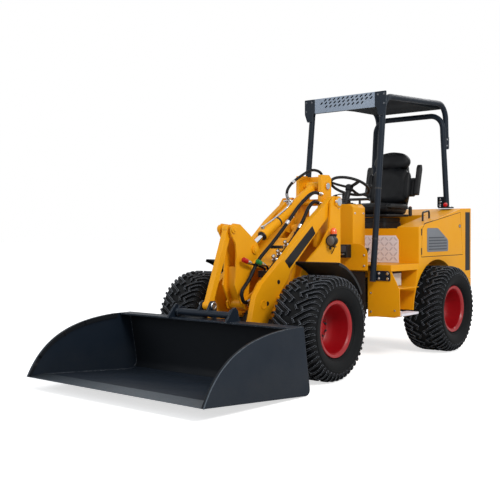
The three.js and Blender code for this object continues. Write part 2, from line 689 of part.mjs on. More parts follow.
// A hollow cylinder barrel pinned at its base, whose bore is open at the gland.
function barrel(base, rodPin, radius, length, bore, eyeHalf, hole) {
  const foot = [0, ...pinLine(base, rodPin, 30)];
  const gland = [0, ...pinLine(base, rodPin, length)];
  const tube = rodBetween(foot, gland, radius, 16);
  const collar = rodBetween([0, ...pinLine(base, rodPin, length - 34)], gland, radius + 4, 16);
  const eye = rodX(base, radius - 2, -eyeHalf, eyeHalf);
  const hollow = rodBetween([0, ...pinLine(base, rodPin, 66)], [0, ...pinLine(base, rodPin, length + 5)], bore, 16);
  return cut(join(tube, collar, eye), hollow, rodX(base, hole, -eyeHalf - 5, eyeHalf + 5, 16));
}

// A piston rod with a closed eye that carries the ends of its own pin.
function rod(base, rodPin, radius, length, eyeRadius, eyeHalf) {
  const reach = pinDistance(base, rodPin);
  const shaft = rodBetween([0, ...pinLine(base, rodPin, reach - length)], [0, ...rodPin], radius, 16);
  return shaft.add(rodX(rodPin, eyeRadius, -eyeHalf, eyeHalf));
}

function tiltLever() {
  const plate = sidePlate([
    [-1352, 1128], [-1348, 1078], [-1296, 1000], [-1288, 917], [-1300, 754], [-1312, 695], [-1277, 619],
    [-1232, 545], [-1205, 512], [-1165, 515], [-1146, 560], [-1150, 640], [-1131, 746], [-1107, 859],
    [-1050, 884], [-1016, 950], [-1050, 1006], [-1245, 1143], [-1320, 1150],
  ], 50, 62);
  const web = sidePlate([
    [-1262, 830], [-1262, 754], [-1266, 695], [-1248, 640], [-1216, 575], [-1208, 579], [-1240, 644],
    [-1257, 697], [-1253, 756], [-1254, 830],
  ], -51, 51);
  const foot = rodX(LEVER_PIN, 40, -68, 68);
  const bosses = [LEVER_TOP_PIN, TILT_ROD_PIN].map((pin) => bothSides(rodX(pin, 32, 60, 74)));
  return cut(join(bothSides(plate), web, foot, ...bosses), rodX(LEVER_PIN, 22, -80, 80, 16));
}

function tiltLink() {
  const reach = pinDistance(LEVER_TOP_PIN, LINK_LOW_PIN);
  const bar = sidePlate([
    pinLine(LEVER_TOP_PIN, LINK_LOW_PIN, 0, -24), pinLine(LEVER_TOP_PIN, LINK_LOW_PIN, reach, -24),
    pinLine(LEVER_TOP_PIN, LINK_LOW_PIN, reach, 24), pinLine(LEVER_TOP_PIN, LINK_LOW_PIN, 0, 24),
  ], -24, 24);
  const eyes = [LEVER_TOP_PIN, LINK_LOW_PIN].map((pin) => rodX(pin, 32, -28, 28));
  return cut(join(bar, ...eyes), rodX(LINK_LOW_PIN, 18, -40, 40));
}

// A pin with a round head at each end, outside the lugs that hold it.
function linkPin() {
  const heads = bothSides(rodX(LINK_LOW_PIN, 30, 52 + GAP, 63, 20));
  return rodX(LINK_LOW_PIN, 16, -60, 60).add(heads);
}

function coupler() {
  const backPlate = sidePlate([[-1471, 150], [-1459, 150], [-1509, 470], [-1522, 470]], -256, 256);
  const sidePlates = sidePlate([
    [-1471, 150], [-1400, 150], [-1352, 180], [-1345, 235], [-1400, 290], [-1485, 480], [-1520, 540],
    [-1575, 548], [-1610, 515], [-1596, 478], [-1524, 472],
  ], 242, 256);
  const innerPlates = sidePlate([
    [-1471, 150], [-1400, 150], [-1352, 180], [-1345, 235], [-1400, 290], [-1492, 330],
  ], 168, 182);
  const topTube = rodX([-1580, 508], 24, -262, 262);
  const linkLugs = sidePlate([
    [-1505, 440], [-1498, 560], [-1515, 594], [-1555, 594], [-1596, 530], [-1590, 488], [-1530, 472], [-1520, 470],
  ], 36, 52);
  const body = join(backPlate, bothSides(sidePlates), bothSides(innerPlates), topTube, bothSides(linkLugs));
  return cut(body, rodX(BUCKET_PIN, 24, -300, 300), rodX(LINK_LOW_PIN, 18, -70, 70, 16));
}

// The bucket's curved side outline, from the cutting edge over the top to the heel.
function bucketOutline(inset) {
  const lip = [FRONT_END + inset, LIP_Z];
  const outline = new THREE.Shape();
  outline.moveTo(...lip);
  outline.bezierCurveTo(
    FRONT_END + 120 + inset, 320, -2160, BUCKET_TOP_FRONT[1] - 14 - inset,
    BUCKET_TOP_FRONT[0], BUCKET_TOP_FRONT[1] - inset,
  );
  outline.lineTo(BUCKET_TOP_BACK[0] - inset, BUCKET_TOP_BACK[1] - inset);
  outline.lineTo(HEEL[0] - 6 - inset, HEEL[1] + 50 + inset);
  outline.quadraticCurveTo(HEEL[0] - inset, HEEL[1] + inset, HEEL[0] - 60 - inset, HEEL[1] + 4 + inset);
  outline.closePath();
  return outline;
}

function bucket() {
  const x = BUCKET_HALF_WIDTH;
  const cheek = sidePlate(bucketOutline(0), x - BUCKET_CHEEK, x);
  const shell = sidePlate([
    [-2380, 80], [-1560, 9], [-1500, 4], [-1466, 16], [-1457, 52], [-1525, 467], [-1640, 467], [-1640, 457],
    [-1536, 457], [-1468, 90], [-1490, 40], [-1560, 19], [-2380, 90],
  ], -x + BUCKET_CHEEK - 1, x - BUCKET_CHEEK + 1);
  const hooks = sidePlate([
    [-1530, 458], [-1655, 458], [-1640, 480], [-1605, 552], [-1570, 566], [-1540, 540],
  ], 272, 288);
  return join(bothSides(cheek), shell, bothSides(hooks));
}

function cuttingEdge() {
  const x = BUCKET_HALF_WIDTH - BUCKET_CHEEK + 1;
  return sidePlate([[FRONT_END + 4, LIP_Z - 2], [-2340, 76], [-2340, 96], [FRONT_END + 4, LIP_Z + 2]], -x, x);
}

function steeringBarrel() {
  const [x, y] = STEER_BASE_PIN;
  const run = [STEER_ROD_PIN[0] - x, STEER_ROD_PIN[1] - y];
  const length = Math.hypot(...run);
  const point = (distance) => [x + run[0] * distance / length, y + run[1] * distance / length, STEER_Z];
  const tube = rodBetween(point(22), point(380), 26, 16);
  const eye = rodZ(STEER_BASE_PIN, 28, STEER_Z - 26, STEER_Z + 26, 16);
  return cut(tube.add(eye), rodBetween(point(50), point(390), 15, 12), rodZ(STEER_BASE_PIN, 15, 400, 600, 16));
}

function steeringRod() {
  const [x, y] = STEER_BASE_PIN;
  const run = [STEER_ROD_PIN[0] - x, STEER_ROD_PIN[1] - y];
  const length = Math.hypot(...run);
  const point = (distance) => [x + run[0] * distance / length, y + run[1] * distance / length, STEER_Z];
  const eye = rodZ(STEER_ROD_PIN, 26, STEER_Z - 28, STEER_Z + 28, 16);
  return rodBetween(point(208), point(length), 13, 12).add(eye);
}

// The two hoses that lie between the boom arms, and the one over the tilt cylinder.
const UPPER_HOSE = [
  [162, -330, 1388], [162, -430, 1400], [161, -520, 1368], [154, -640, 1284], [128, -736, 1170],
  [112, -905, 1015], [112, -1090, 877], [112, -1205, 735], [112, -1288, 650], [112, -1266, 572], [112, -1180, 578],
];
const LOWER_HOSE = [
  [165, -330, 1305], [165, -440, 1325], [165, -520, 1275], [160, -597, 1166], [150, -721, 1020],
  [150, -930, 860], [150, -1011, 790], [150, -1092, 720], [150, -1150, 655],
];
const TILT_HOSE = [
  [0, -572, 1344], [0, -588, 1385], [0, -576, 1428], [0, -525, 1475], [0, -441, 1521], [0, -288, 1587],
  [0, -193, 1601], [0, -110, 1583], [0, -66, 1530],
];

function tiltHose() {
  const along = 377;
  const foot = [0, ...pinLine(TILT_BASE_PIN, TILT_ROD_PIN, along, -42 - GAP)];
  const top = [0, ...pinLine(TILT_BASE_PIN, TILT_ROD_PIN, along, -92)];
  return hose(TILT_HOSE, 12, 26).add(rodBetween(foot, top, 19, 6));
}

function addLoaderArms() {
  addPart('boom', boom(), YELLOW);
  addPart('bucket_pin', rodX(BUCKET_PIN, 22, -264, 264), CHROME);
  addPart('lever_pin', rodX(LEVER_PIN, 20, -98, 98, 16), CHROME);
  addPart('link_pin', linkPin(), CHROME);
  addPart('boom_hose_upper', hose(UPPER_HOSE, 15, 44), BLACK);
  addPart('boom_hose_lower', hose(LOWER_HOSE, 15, 34), BLACK);
  addPart('tilt_hose', tiltHose(), BLACK);
  addPart('lift_barrel', barrel(LIFT_BASE_PIN, LIFT_ROD_PIN, 44, 590, 26, 46, 22), YELLOW);
  addPart('lift_rod', rod(LIFT_BASE_PIN, LIFT_ROD_PIN, 22, 500, 34, 36), CHROME);
  addPart('tilt_barrel', barrel(TILT_BASE_PIN, TILT_ROD_PIN, 42, 812, 24, 60, 22), YELLOW);
  addPart('tilt_rod', rod(TILT_BASE_PIN, TILT_ROD_PIN, 20, 776, 34, 40), CHROME);
  addPart('tilt_lever', tiltLever(), YELLOW);
  addPart('tilt_link', tiltLink(), YELLOW);
  addPart('coupler', coupler(), SLATE);
  addPart('bucket', bucket().add(cuttingEdge()), SLATE);
  addPart('steering_barrel', steeringBarrel(), BLACK);
  addPart('steering_rod', steeringRod(), CHROME);
}

addWheels();
addRearBody();
addOperatorPlace();
addCanopy();
addFrontFrame();
addLoaderArms();

export default loader;
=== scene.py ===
"""Looks of a compact articulated wheel loader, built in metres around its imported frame."""
import json
import math

import bmesh
import bpy
from mathutils import Matrix, Vector

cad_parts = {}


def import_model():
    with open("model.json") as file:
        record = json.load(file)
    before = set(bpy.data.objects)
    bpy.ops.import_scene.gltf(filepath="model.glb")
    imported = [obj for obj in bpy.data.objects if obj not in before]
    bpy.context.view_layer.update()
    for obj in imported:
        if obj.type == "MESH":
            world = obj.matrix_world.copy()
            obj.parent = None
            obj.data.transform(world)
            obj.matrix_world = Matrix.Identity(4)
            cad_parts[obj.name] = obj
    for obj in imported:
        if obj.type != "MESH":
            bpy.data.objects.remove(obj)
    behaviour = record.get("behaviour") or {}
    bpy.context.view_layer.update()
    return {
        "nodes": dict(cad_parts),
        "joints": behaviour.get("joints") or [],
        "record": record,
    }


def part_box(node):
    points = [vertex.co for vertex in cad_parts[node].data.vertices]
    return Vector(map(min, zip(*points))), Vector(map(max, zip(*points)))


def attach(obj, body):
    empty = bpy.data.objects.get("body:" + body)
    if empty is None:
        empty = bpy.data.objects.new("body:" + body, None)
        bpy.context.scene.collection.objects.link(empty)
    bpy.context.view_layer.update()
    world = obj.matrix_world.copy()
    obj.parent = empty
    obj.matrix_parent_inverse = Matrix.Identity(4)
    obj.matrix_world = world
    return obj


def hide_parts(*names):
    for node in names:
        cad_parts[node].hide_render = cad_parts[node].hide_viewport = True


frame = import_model()
RECORD = frame["record"]
BODY_OF = {node: body for body, nodes in RECORD["behaviour"]["bodies"].items() for node in nodes}
JOINT = {joint["name"]: joint for joint in frame["joints"]}
PIVOT_Y = JOINT["articulation"]["pos_m"][1]
SIDES = (("left", 1), ("right", -1))


def at(x, y, z):
    """A point given from the articulation pin's line: x to the left, y backwards, z up from the ground."""
    return Vector((x, y + PIVOT_Y, z))


def joint_place(name):
    return Vector(JOINT[name]["pos_m"])


# ---------- shapes ----------
def smooth_path(points, steps=6):
    """Points along a smooth curve through the given ones."""
    points = [Vector(p) for p in points]
    ends = [points[0] * 2 - points[1]] + points + [points[-1] * 2 - points[-2]]
    path = []
    for i in range(1, len(ends) - 2):
        before, start, stop, after = ends[i - 1:i + 3]
        for k in range(steps):
            t = k / steps
            path.append(0.5 * (
                2 * start + (stop - before) * t + (2 * before - 5 * start + 4 * stop - after) * t ** 2
                + (3 * start - before - 3 * stop + after) * t ** 3))
    return path + [points[-1]]


def rounded_corners(points, radius, steps=8):
    """A path of straight runs whose corners are turned into arcs."""
    points = [Vector(p) for p in points]
    path = [points[0]]
    for before, corner, after in zip(points, points[1:], points[2:]):
        into = (corner - before).normalized()
        out = (after - corner).normalized()
        angle = into.angle(out)
        cut = radius * math.tan(angle / 2)
        start = corner - into * cut
        centre = start + (out - into * into.dot(out)).normalized() * radius
        spoke = start - centre
        axis = into.cross(out).normalized()
        path += [centre + Matrix.Rotation(angle * k / steps, 3, axis) @ spoke for k in range(steps + 1)]
    return path + [points[-1]]


def across(direction):
    """Two unit vectors square to a direction."""
    direction = Vector(direction).normalized()
    helper = Vector((0, 0, 1)) if abs(direction.z) < 0.9 else Vector((1, 0, 0))
    first = direction.cross(helper).normalized()
    return first, direction.cross(first)


class Shape:
    """A mesh in the making."""

    def __init__(self):
        self.bm = bmesh.new()

    def ring(self, centre, u, v, radius, sides, turn=0.0):
        angles = [2 * math.pi * k / sides + turn for k in range(sides)]
        return [self.bm.verts.new(centre + (u * math.cos(a) + v * math.sin(a)) * radius) for a in angles]

    def bridge(self, first, second, closed=True):
        count = len(first)
        for k in range(count if closed else count - 1):
            nxt = (k + 1) % count
            self.bm.faces.new((first[k], first[nxt], second[nxt], second[k]))

    def box(self, lo, hi):
        lo, hi = Vector(lo), Vector(hi)
        verts = bmesh.ops.create_cube(self.bm, size=1)["verts"]
        for vert in verts:
            vert.co = Vector((lo[k] + (vert.co[k] + 0.5) * (hi[k] - lo[k]) for k in range(3)))
        return self

    def prism(self, outline, offset):
        """A closed outline of points, pushed along a vector."""
        start = [self.bm.verts.new(Vector(p)) for p in outline]
        stop = [self.bm.verts.new(Vector(p) + Vector(offset)) for p in outline]
        self.bm.faces.new(start[::-1])
        self.bm.faces.new(stop)
        self.bridge(start, stop)
        return self

    def rod(self, a, b, radius, end_radius=None, sides=24, turn=0.0):
        a, b = Vector(a), Vector(b)
        end_radius = radius if end_radius is None else end_radius
        u, v = across(b - a)
        first = self.ring(a, u, v, radius, sides, turn)
        last = self.ring(b, u, v, end_radius, sides, turn)
        self.bridge(first, last)
        self.bm.faces.new(first[::-1])
        self.bm.faces.new(last)
        return self

    def sweep(self, path, radius, sides=12, closed=False):
        """A round tube along a path. The radius is one number, or one for each point."""
        path = [Vector(p) for p in path]
        radii = radius if isinstance(radius, (list, tuple)) else [radius] * len(path)
        count = len(path)
        u = None
        rings = []
        for k, point in enumerate(path):
            ahead = path[(k + 1) % count] if closed or k < count - 1 else point
            behind = path[k - 1] if closed or k > 0 else point
            along = (ahead - behind).normalized()
            u = across(along)[0] if u is None else (u - along * u.dot(along)).normalized()
            rings.append(self.ring(point, u, along.cross(u), radii[k], sides))
        for first, second in zip(rings, rings[1:]):
            self.bridge(first, second)
        if closed:
            self.bridge(rings[-1], rings[0])
        else:
            self.bm.faces.new(rings[0][::-1])
            self.bm.faces.new(rings[-1])
        return self

    def lathe(self, centre, axis, profile, steps=40, closed=False):
        """A profile of (distance along the axis, radius) turned about the axis."""
        axis = Vector(axis).normalized()
        u, v = across(axis)
        rings = []
        for along, radius in profile:
            if radius < 1e-6:
                rings.append([self.bm.verts.new(Vector(centre) + axis * along)])
            else:
                rings.append(self.ring(Vector(centre) + axis * along, u, v, radius, steps))
        pairs = list(zip(rings, rings[1:])) + ([(rings[-1], rings[0])] if closed else [])
        for first, second in pairs:
            if len(first) == 1 and len(second) == 1:
                continue
            if len(first) == 1 or len(second) == 1:
                tip, rim = (first[0], second) if len(first) == 1 else (second[0], first)
                for k in range(steps):
                    self.bm.faces.new((tip, rim[k], rim[(k + 1) % steps]))
            else:
                self.bridge(first, second)
        return self

    def bolt(self, centre, normal, radius):
        """A washer with a hexagon head on it."""
        centre, normal = Vector(centre), Vector(normal).normalized()
        self.rod(centre, centre + normal * radius * 0.25, radius * 1.5, sides=16)
        self.rod(centre + normal * radius * 0.25, centre + normal * radius, radius, radius * 0.92, sides=6)
        return self

    def mirror(self):
        """The same shape on the other side of the machine."""
        twin = Shape()
        twin.bm = self.bm.copy()
        for vert in twin.bm.verts:
            vert.co.x = -vert.co.x
        return twin

    def finish(self, name, body, material, slot, bevel=0.0, segments=2, angle=32, replaces=()):
        return finish_mesh(self.bm, name, body, material, bevel, segments, angle, replaces)


def finish_mesh(bm, name, body, material, bevel, segments, angle, replaces):
    bmesh.ops.remove_doubles(bm, verts=bm.verts, dist=1e-5)
    bmesh.ops.recalc_face_normals(bm, faces=bm.faces)
    mesh = bpy.data.meshes.new(name)
    bm.to_mesh(mesh)
    bm.free()
    piece = bpy.data.objects.new(name, mesh)
    bpy.context.scene.collection.objects.link(piece)
    if bevel:
        modifier = piece.modifiers.new("edges", "BEVEL")
        modifier.width = bevel
        modifier.segments = segments
        modifier.limit_method = "ANGLE"
        modifier.angle_limit = math.radians(angle)
        apply_modifiers(piece)
    mesh = piece.data
    mesh.polygons.foreach_set("use_smooth", [True] * len(mesh.polygons))
    mesh.set_sharp_from_angle(angle=math.radians(angle))
    if bevel:
        modifier = piece.modifiers.new("shading", "WEIGHTED_NORMAL")
        modifier.keep_sharp = True
        apply_modifiers(piece)
    piece.data.materials.clear()
    piece.data.materials.append(material)
    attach(piece, body)
    if replaces:
        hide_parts(*replaces)
    return piece


def apply_modifiers(piece):
    bpy.context.view_layer.update()
    depsgraph = bpy.context.evaluated_depsgraph_get()
    mesh = bpy.data.meshes.new_from_object(piece.evaluated_get(depsgraph))
    piece.modifiers.clear()
    piece.data = mesh


def refined(node, material, bevel=0.0025, segments=2, name=None, angle=32):
    """A CAD node's own shape with its sheet edges rounded."""
    bm = bmesh.new()
    bm.from_mesh(frame["nodes"][node].data)
    bmesh.ops.remove_doubles(bm, verts=bm.verts, dist=2e-5)
    bmesh.ops.dissolve_limit(bm, angle_limit=math.radians(0.8), verts=bm.verts, edges=bm.edges)
    return finish_mesh(
        bm, name or node + "_sheet", BODY_OF[node], material, bevel, segments, angle, (node,))


# ---------- materials ----------
def srgb(red, green, blue):
    """A linear colour from the 0 to 255 values of a screen."""
    def linear(value):
        value /= 255
        return value / 12.92 if value <= 0.04045 else ((value + 0.055) / 1.055) ** 2.4
    return (linear(red), linear(green), linear(blue), 1)


class Finish:
    """A material in the making: a Principled shader with textures in the piece's own space."""

    def __init__(self, name, color, roughness, metallic=0.0, **sockets):
        self.material = bpy.data.materials.new(name)
        self.material.use_nodes = True
        self.tree = self.material.node_tree
        self.shader = self.tree.nodes["Principled BSDF"]
        self.shader.inputs["Base Color"].default_value = color
        self.shader.inputs["Roughness"].default_value = roughness
        self.shader.inputs["Metallic"].default_value = metallic
        for socket, value in sockets.items():
            self.shader.inputs[socket.replace("_", " ")].default_value = value
        self.color = color
        self.place = self.node("ShaderNodeTexCoord").outputs["Object"]
        self.height = None

    def node(self, kind, **settings):
        node = self.tree.nodes.new(kind)
        for key, value in settings.items():
            setattr(node, key, value)
        return node

    def link(self, source, target):
        self.tree.links.new(source, target)

    def noise(self, scale, detail=3.0, roughness=0.5, stretch=(1, 1, 1)):
        mapping = self.node("ShaderNodeMapping")
        mapping.inputs["Scale"].default_value = stretch
        self.link(self.place, mapping.inputs["Vector"])
        noise = self.node("ShaderNodeTexNoise")
        noise.inputs["Scale"].default_value = scale
        noise.inputs["Detail"].default_value = detail
        noise.inputs["Roughness"].default_value = roughness
        self.link(mapping.outputs["Vector"], noise.inputs["Vector"])
        return noise.outputs["Fac"]

    def ramp(self, source, low, high, from_value=0.0, to_value=1.0):
        step = self.node("ShaderNodeMapRange")
        for name, value in zip(("From Min", "From Max", "To Min", "To Max"),
                               (low, high, from_value, to_value)):
            step.inputs[name].default_value = value
        self.link(source, step.inputs["Value"])
        return step.outputs["Result"]

    def math(self, operation, first, second):
        node = self.node("ShaderNodeMath", operation=operation)
        for socket, value in zip(node.inputs, (first, second)):
            if isinstance(value, (int, float)):
                socket.default_value = value
            else:
                self.link(value, socket)
        return node.outputs["Value"]

    def tint(self, mask, color):
        """Mixes a second colour in where the mask is 1."""
        mix = self.node("ShaderNodeMix", data_type="RGBA")
        self.link(mask, mix.inputs["Factor"])
        base = self.shader.inputs["Base Color"]
        if base.is_linked:
            self.link(base.links[0].from_socket, mix.inputs["A"])
        else:
            mix.inputs["A"].default_value = self.color
        mix.inputs["B"].default_value = color
        self.link(mix.outputs["Result"], base)
        return self

    def rough(self, source, low, high):
        self.link(self.ramp(source, 0.3, 0.7, low, high), self.shader.inputs["Roughness"])
        return self

    def bump(self, source, strength, distance):
        bump = self.node("ShaderNodeBump")
        bump.inputs["Strength"].default_value = strength
        bump.inputs["Distance"].default_value = distance
        self.link(source, bump.inputs["Height"])
        if self.height is not None:
            self.link(self.height, bump.inputs["Normal"])
        self.link(bump.outputs["Normal"], self.shader.inputs["Normal"])
        self.height = bump.outputs["Normal"]
        return self

    def edges(self, width):
        """1 along the piece's sharp edges, 0 on its flats."""
        bevel = self.node("ShaderNodeBevel", samples=4)
        bevel.inputs["Radius"].default_value = width
        geometry = self.node("ShaderNodeNewGeometry")
        dot = self.node("ShaderNodeVectorMath", operation="DOT_PRODUCT")
        self.link(bevel.outputs["Normal"], dot.inputs[0])
        self.link(geometry.outputs["Normal"], dot.inputs[1])
        return self.ramp(dot.outputs["Value"], 0.995, 0.93)

    def height_above(self, low, high):
        """0 at the low height and 1 at the high one, in the piece's own space."""
        split = self.node("ShaderNodeSeparateXYZ")
        self.link(self.place, split.inputs["Vector"])
        return self.ramp(split.outputs["Z"], low, high)


def paint(name, color, deep, roughness, coat=0.25, dust=None, dust_top=0.9, specular=0.4):
    """Sprayed paint: slight colour drift, orange peel, darker grime low down."""
    finish = Finish(name, color, roughness, Coat_Weight=coat, Coat_Roughness=0.12,
                    Specular_IOR_Level=specular)
    finish.tint(finish.ramp(finish.noise(1.7, 4), 0.42, 0.75, 0.0, 0.35), deep)
    finish.tint(finish.ramp(finish.noise(24, 5, 0.6), 0.58, 0.8, 0.0, 0.18), deep)
    if dust:
        grime = finish.math("MULTIPLY", finish.height_above(dust_top, 0.15), finish.noise(9, 6, 0.7))
        finish.tint(finish.ramp(grime, 0.2, 0.75, 0.0, 0.3), dust)
    finish.rough(finish.noise(5, 4), roughness - 0.05, roughness + 0.1)
    finish.bump(finish.noise(260, 2), 0.05, 0.0006)
    return finish


def worn_slate():
    finish = paint("slate_paint", srgb(23, 32, 43), srgb(16, 23, 31), 0.48, 0.02, srgb(46, 48, 50), 0.35,
                   0.16)
    scuffs = finish.math("MULTIPLY", finish.edges(0.004), finish.ramp(finish.noise(38, 4, 0.7), 0.4, 0.65))
    finish.tint(scuffs, srgb(112, 118, 124))
    return finish.material


def rubber(name, color, light, grain, roughness, edge_tint=None):
    finish = Finish(name, color, roughness, Specular_IOR_Level=0.14)
    finish.tint(finish.ramp(finish.noise(11, 6, 0.65), 0.45, 0.8, 0.0, 0.4), light)
    # The tread bars' edges are tinted a lighter blue-grey: partly wear, partly a painted highlight.
    if edge_tint:
        finish.tint(finish.ramp(finish.edges(0.0030), 0.08, 0.55, 0.0, 0.9), edge_tint)
    finish.bump(finish.noise(grain, 3), 0.25, 0.0006)
    return finish.material


def metal(name, color, roughness, grain=160, stretch=(1, 1, 1), streaks=0.08):
    finish = Finish(name, color, roughness, 1.0)
    finish.rough(finish.noise(grain, 3, 0.5, stretch), roughness - streaks, roughness + streaks)
    finish.tint(finish.ramp(finish.noise(14, 4), 0.5, 0.8, 0.0, 0.25),
                tuple(c * 0.6 for c in color[:3]) + (1,))
    finish.bump(finish.noise(grain * 2, 2, 0.5, stretch), 0.04, 0.0004)
    return finish.material


def plastic(name, color, light, roughness=0.5, grain=420):
    finish = Finish(name, color, roughness, Specular_IOR_Level=0.3)
    finish.tint(finish.ramp(finish.noise(6, 4), 0.45, 0.75, 0.0, 0.35), light)
    finish.bump(finish.noise(grain, 2), 0.16, 0.0005)
    return finish.material


def leather():
    finish = Finish("seat_leather", srgb(12, 14, 17), 0.5, Specular_IOR_Level=0.2)
    grain = finish.node("ShaderNodeTexVoronoi", feature="DISTANCE_TO_EDGE")
    grain.inputs["Scale"].default_value = 330
    finish.link(finish.place, grain.inputs["Vector"])
    finish.tint(finish.ramp(finish.noise(9, 5), 0.45, 0.8, 0.0, 0.4), srgb(22, 25, 29))
    finish.rough(finish.noise(14, 4), 0.42, 0.6)
    finish.bump(finish.ramp(grain.outputs["Distance"], 0.0, 0.25), 0.35, 0.0006)
    finish.bump(finish.noise(16, 3), 0.2, 0.004)
    return finish.material


def lens(name, color, glow=0.0):
    finish = Finish(name, color, 0.12, Coat_Weight=0.8, Coat_Roughness=0.04)
    # A faint emission on the lens: painted glow, with no lit lamp behind it.
    finish.shader.inputs["Emission Color"].default_value = color
    finish.shader.inputs["Emission Strength"].default_value = glow
    ribs = finish.node("ShaderNodeTexWave", bands_direction="X")
    ribs.inputs["Scale"].default_value = 90
    finish.link(finish.place, ribs.inputs["Vector"])
    finish.tint(finish.ramp(finish.noise(40, 3), 0.5, 0.8, 0.0, 0.3),
                tuple(c * 0.5 for c in color[:3]) + (1,))
    finish.bump(ribs.outputs["Fac"], 0.3, 0.0008)
    return finish.material


YELLOW = paint("yellow_paint", srgb(236, 163, 15), srgb(222, 142, 10), 0.42, 0.04, srgb(160, 106, 34), 0.9,
               0.18).material
SLATE = worn_slate()
RED = paint("red_paint", srgb(158, 10, 20), srgb(112, 5, 12), 0.40, 0.12).material
BLACK_PAINT = paint("black_paint", srgb(26, 27, 29), srgb(16, 16, 18), 0.45, 0.1, srgb(70, 64, 56)).material
CAST = paint("cast_iron", srgb(42, 43, 45), srgb(28, 28, 30), 0.6, 0.0, srgb(82, 74, 64)).material
TYRE = rubber("tyre_rubber", srgb(10, 12, 14), srgb(18, 20, 23), 300, 0.66)
LUG = rubber("tread_rubber", srgb(13, 15, 17), srgb(23, 25, 27), 240, 0.6, srgb(128, 133, 142))
HOSE = rubber("hose_rubber", srgb(20, 20, 22), srgb(38, 38, 40), 380, 0.5)
BLACK_PLASTIC = plastic("black_plastic", srgb(19, 20, 22), srgb(33, 34, 37))
GREY_PLASTIC = plastic("grey_plastic", srgb(120, 124, 130), srgb(96, 100, 106))
STEEL = metal("bright_steel", srgb(196, 198, 202), 0.28)
CHROME = metal("chrome", srgb(222, 224, 228), 0.1, 500, (1, 1, 1), 0.03)
DARK_STEEL = metal("dark_steel", srgb(92, 94, 98), 0.36)
BLADE = metal("worn_blade", srgb(84, 92, 100), 0.46, 60, (1, 8, 8))
DARK_GREY = plastic("dark_grey_plastic", srgb(74, 78, 84), srgb(58, 62, 68))
WHITE_PLASTIC = plastic("white_plastic", srgb(214, 216, 214), srgb(190, 192, 190), 0.42)
DARK_STRIP = plastic("dark_strip", srgb(12, 13, 16), srgb(18, 20, 24), 0.5)
VISOR_GREY = paint("visor_paint", srgb(126, 140, 158), srgb(104, 118, 136), 0.36, 0.2).material
TREADPLATE = paint("tread_plate", srgb(232, 230, 238), srgb(214, 210, 220), 0.4, 0.1).material
TREAD_BUTTON = paint("tread_button", srgb(196, 192, 204), srgb(224, 222, 230), 0.4, 0.1).material
ROOF_PAINT = paint("roof_paint", srgb(26, 31, 36), srgb(20, 24, 28), 0.8, 0.0, specular=0.1).material
# Painted shade: the bucket's inside gets a near-black colour that stands in for the shade falling in it.
BUCKET_SHADE = paint("bucket_inside_shade", srgb(19, 23, 28), srgb(13, 15, 18), 0.6, 0.0, specular=0.15).material
LEATHER = leather()
PIPING = rubber("seat_piping", srgb(34, 36, 38), srgb(52, 54, 56), 300, 0.55)
LAMP_GLASS = lens("lamp_glass", srgb(104, 102, 100))
# Both lens colours carry a faint painted glow, the red reflectors on the hoop included.
AMBER = lens("amber_lens", srgb(240, 92, 20), 0.12)
RED_LENS = lens("red_lens", srgb(200, 12, 24), 0.08)
RED_CAP = plastic("red_cap", srgb(190, 30, 24), srgb(150, 20, 18), 0.4)
GREEN_CAP = plastic("green_cap", srgb(30, 120, 60), srgb(20, 90, 45), 0.4)


# ---------- wheels ----------
TYRE_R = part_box("tyre_front_left")[1][2] / 2
CROWN_R = TYRE_R - 0.018
TREAD_PITCHES = 24
TREAD_BAR_WIDTH = 0.0165
WHEEL_NUTS = 8
CARCASS = (
    (0.136, 0.197), (0.139, 0.211), (0.152, 0.219), (0.169, 0.236), (0.181, 0.262), (0.185, 0.290),
    (0.182, 0.314), (0.174, 0.335), (0.162, 0.350), (0.145, 0.359), (0.120, 0.364), (0.060, CROWN_R),
)
RIM_PROFILE = (
    (-0.024, 0.0), (-0.024, 0.088), (-0.070, 0.150), (-0.130, 0.172), (-0.142, 0.182), (-0.149, 0.204),
    (-0.145, 0.208), (-0.137, 0.205), (-0.134, 0.193), (-0.110, 0.190), (0.110, 0.190), (0.134, 0.193),
    (0.137, 0.205), (0.145, 0.208), (0.149, 0.204), (0.143, 0.184), (0.132, 0.176), (0.060, 0.172),
    (0.012, 0.168), (-0.002, 0.162), (-0.030, 0.150), (-0.040, 0.142), (-0.036, 0.128), (-0.010, 0.092),
    (-0.006, 0.084), (-0.006, 0.0),
)
WHEELS = [
    (f"{end}_{side}", joint_place(f"{end}_{side}_spin"), sign)
    for end in ("front", "rear") for side, sign in SIDES
]


def interpolate(profile, across_wheel):
    """Radius of a profile of (distance, radius) pairs, listed from the shoulder inwards."""
    distance = abs(across_wheel)
    for (far, low), (near, high) in zip(profile, profile[1:]):
        if near <= distance <= far:
            return low + (high - low) * (far - distance) / (far - near)
    return profile[-1][1] if distance < profile[-1][0] else profile[0][1]


def lug_top(across_wheel):
    """Height of the tread's top over the wheel's centre line."""
    return interpolate(((0.182, 0.330), (0.176, 0.352), (0.162, 0.369), (0.140, 0.379), (0.110, TYRE_R)),
                       across_wheel)


def lug_foot(across_wheel):
    return interpolate(CARCASS[6:], across_wheel) - 0.004


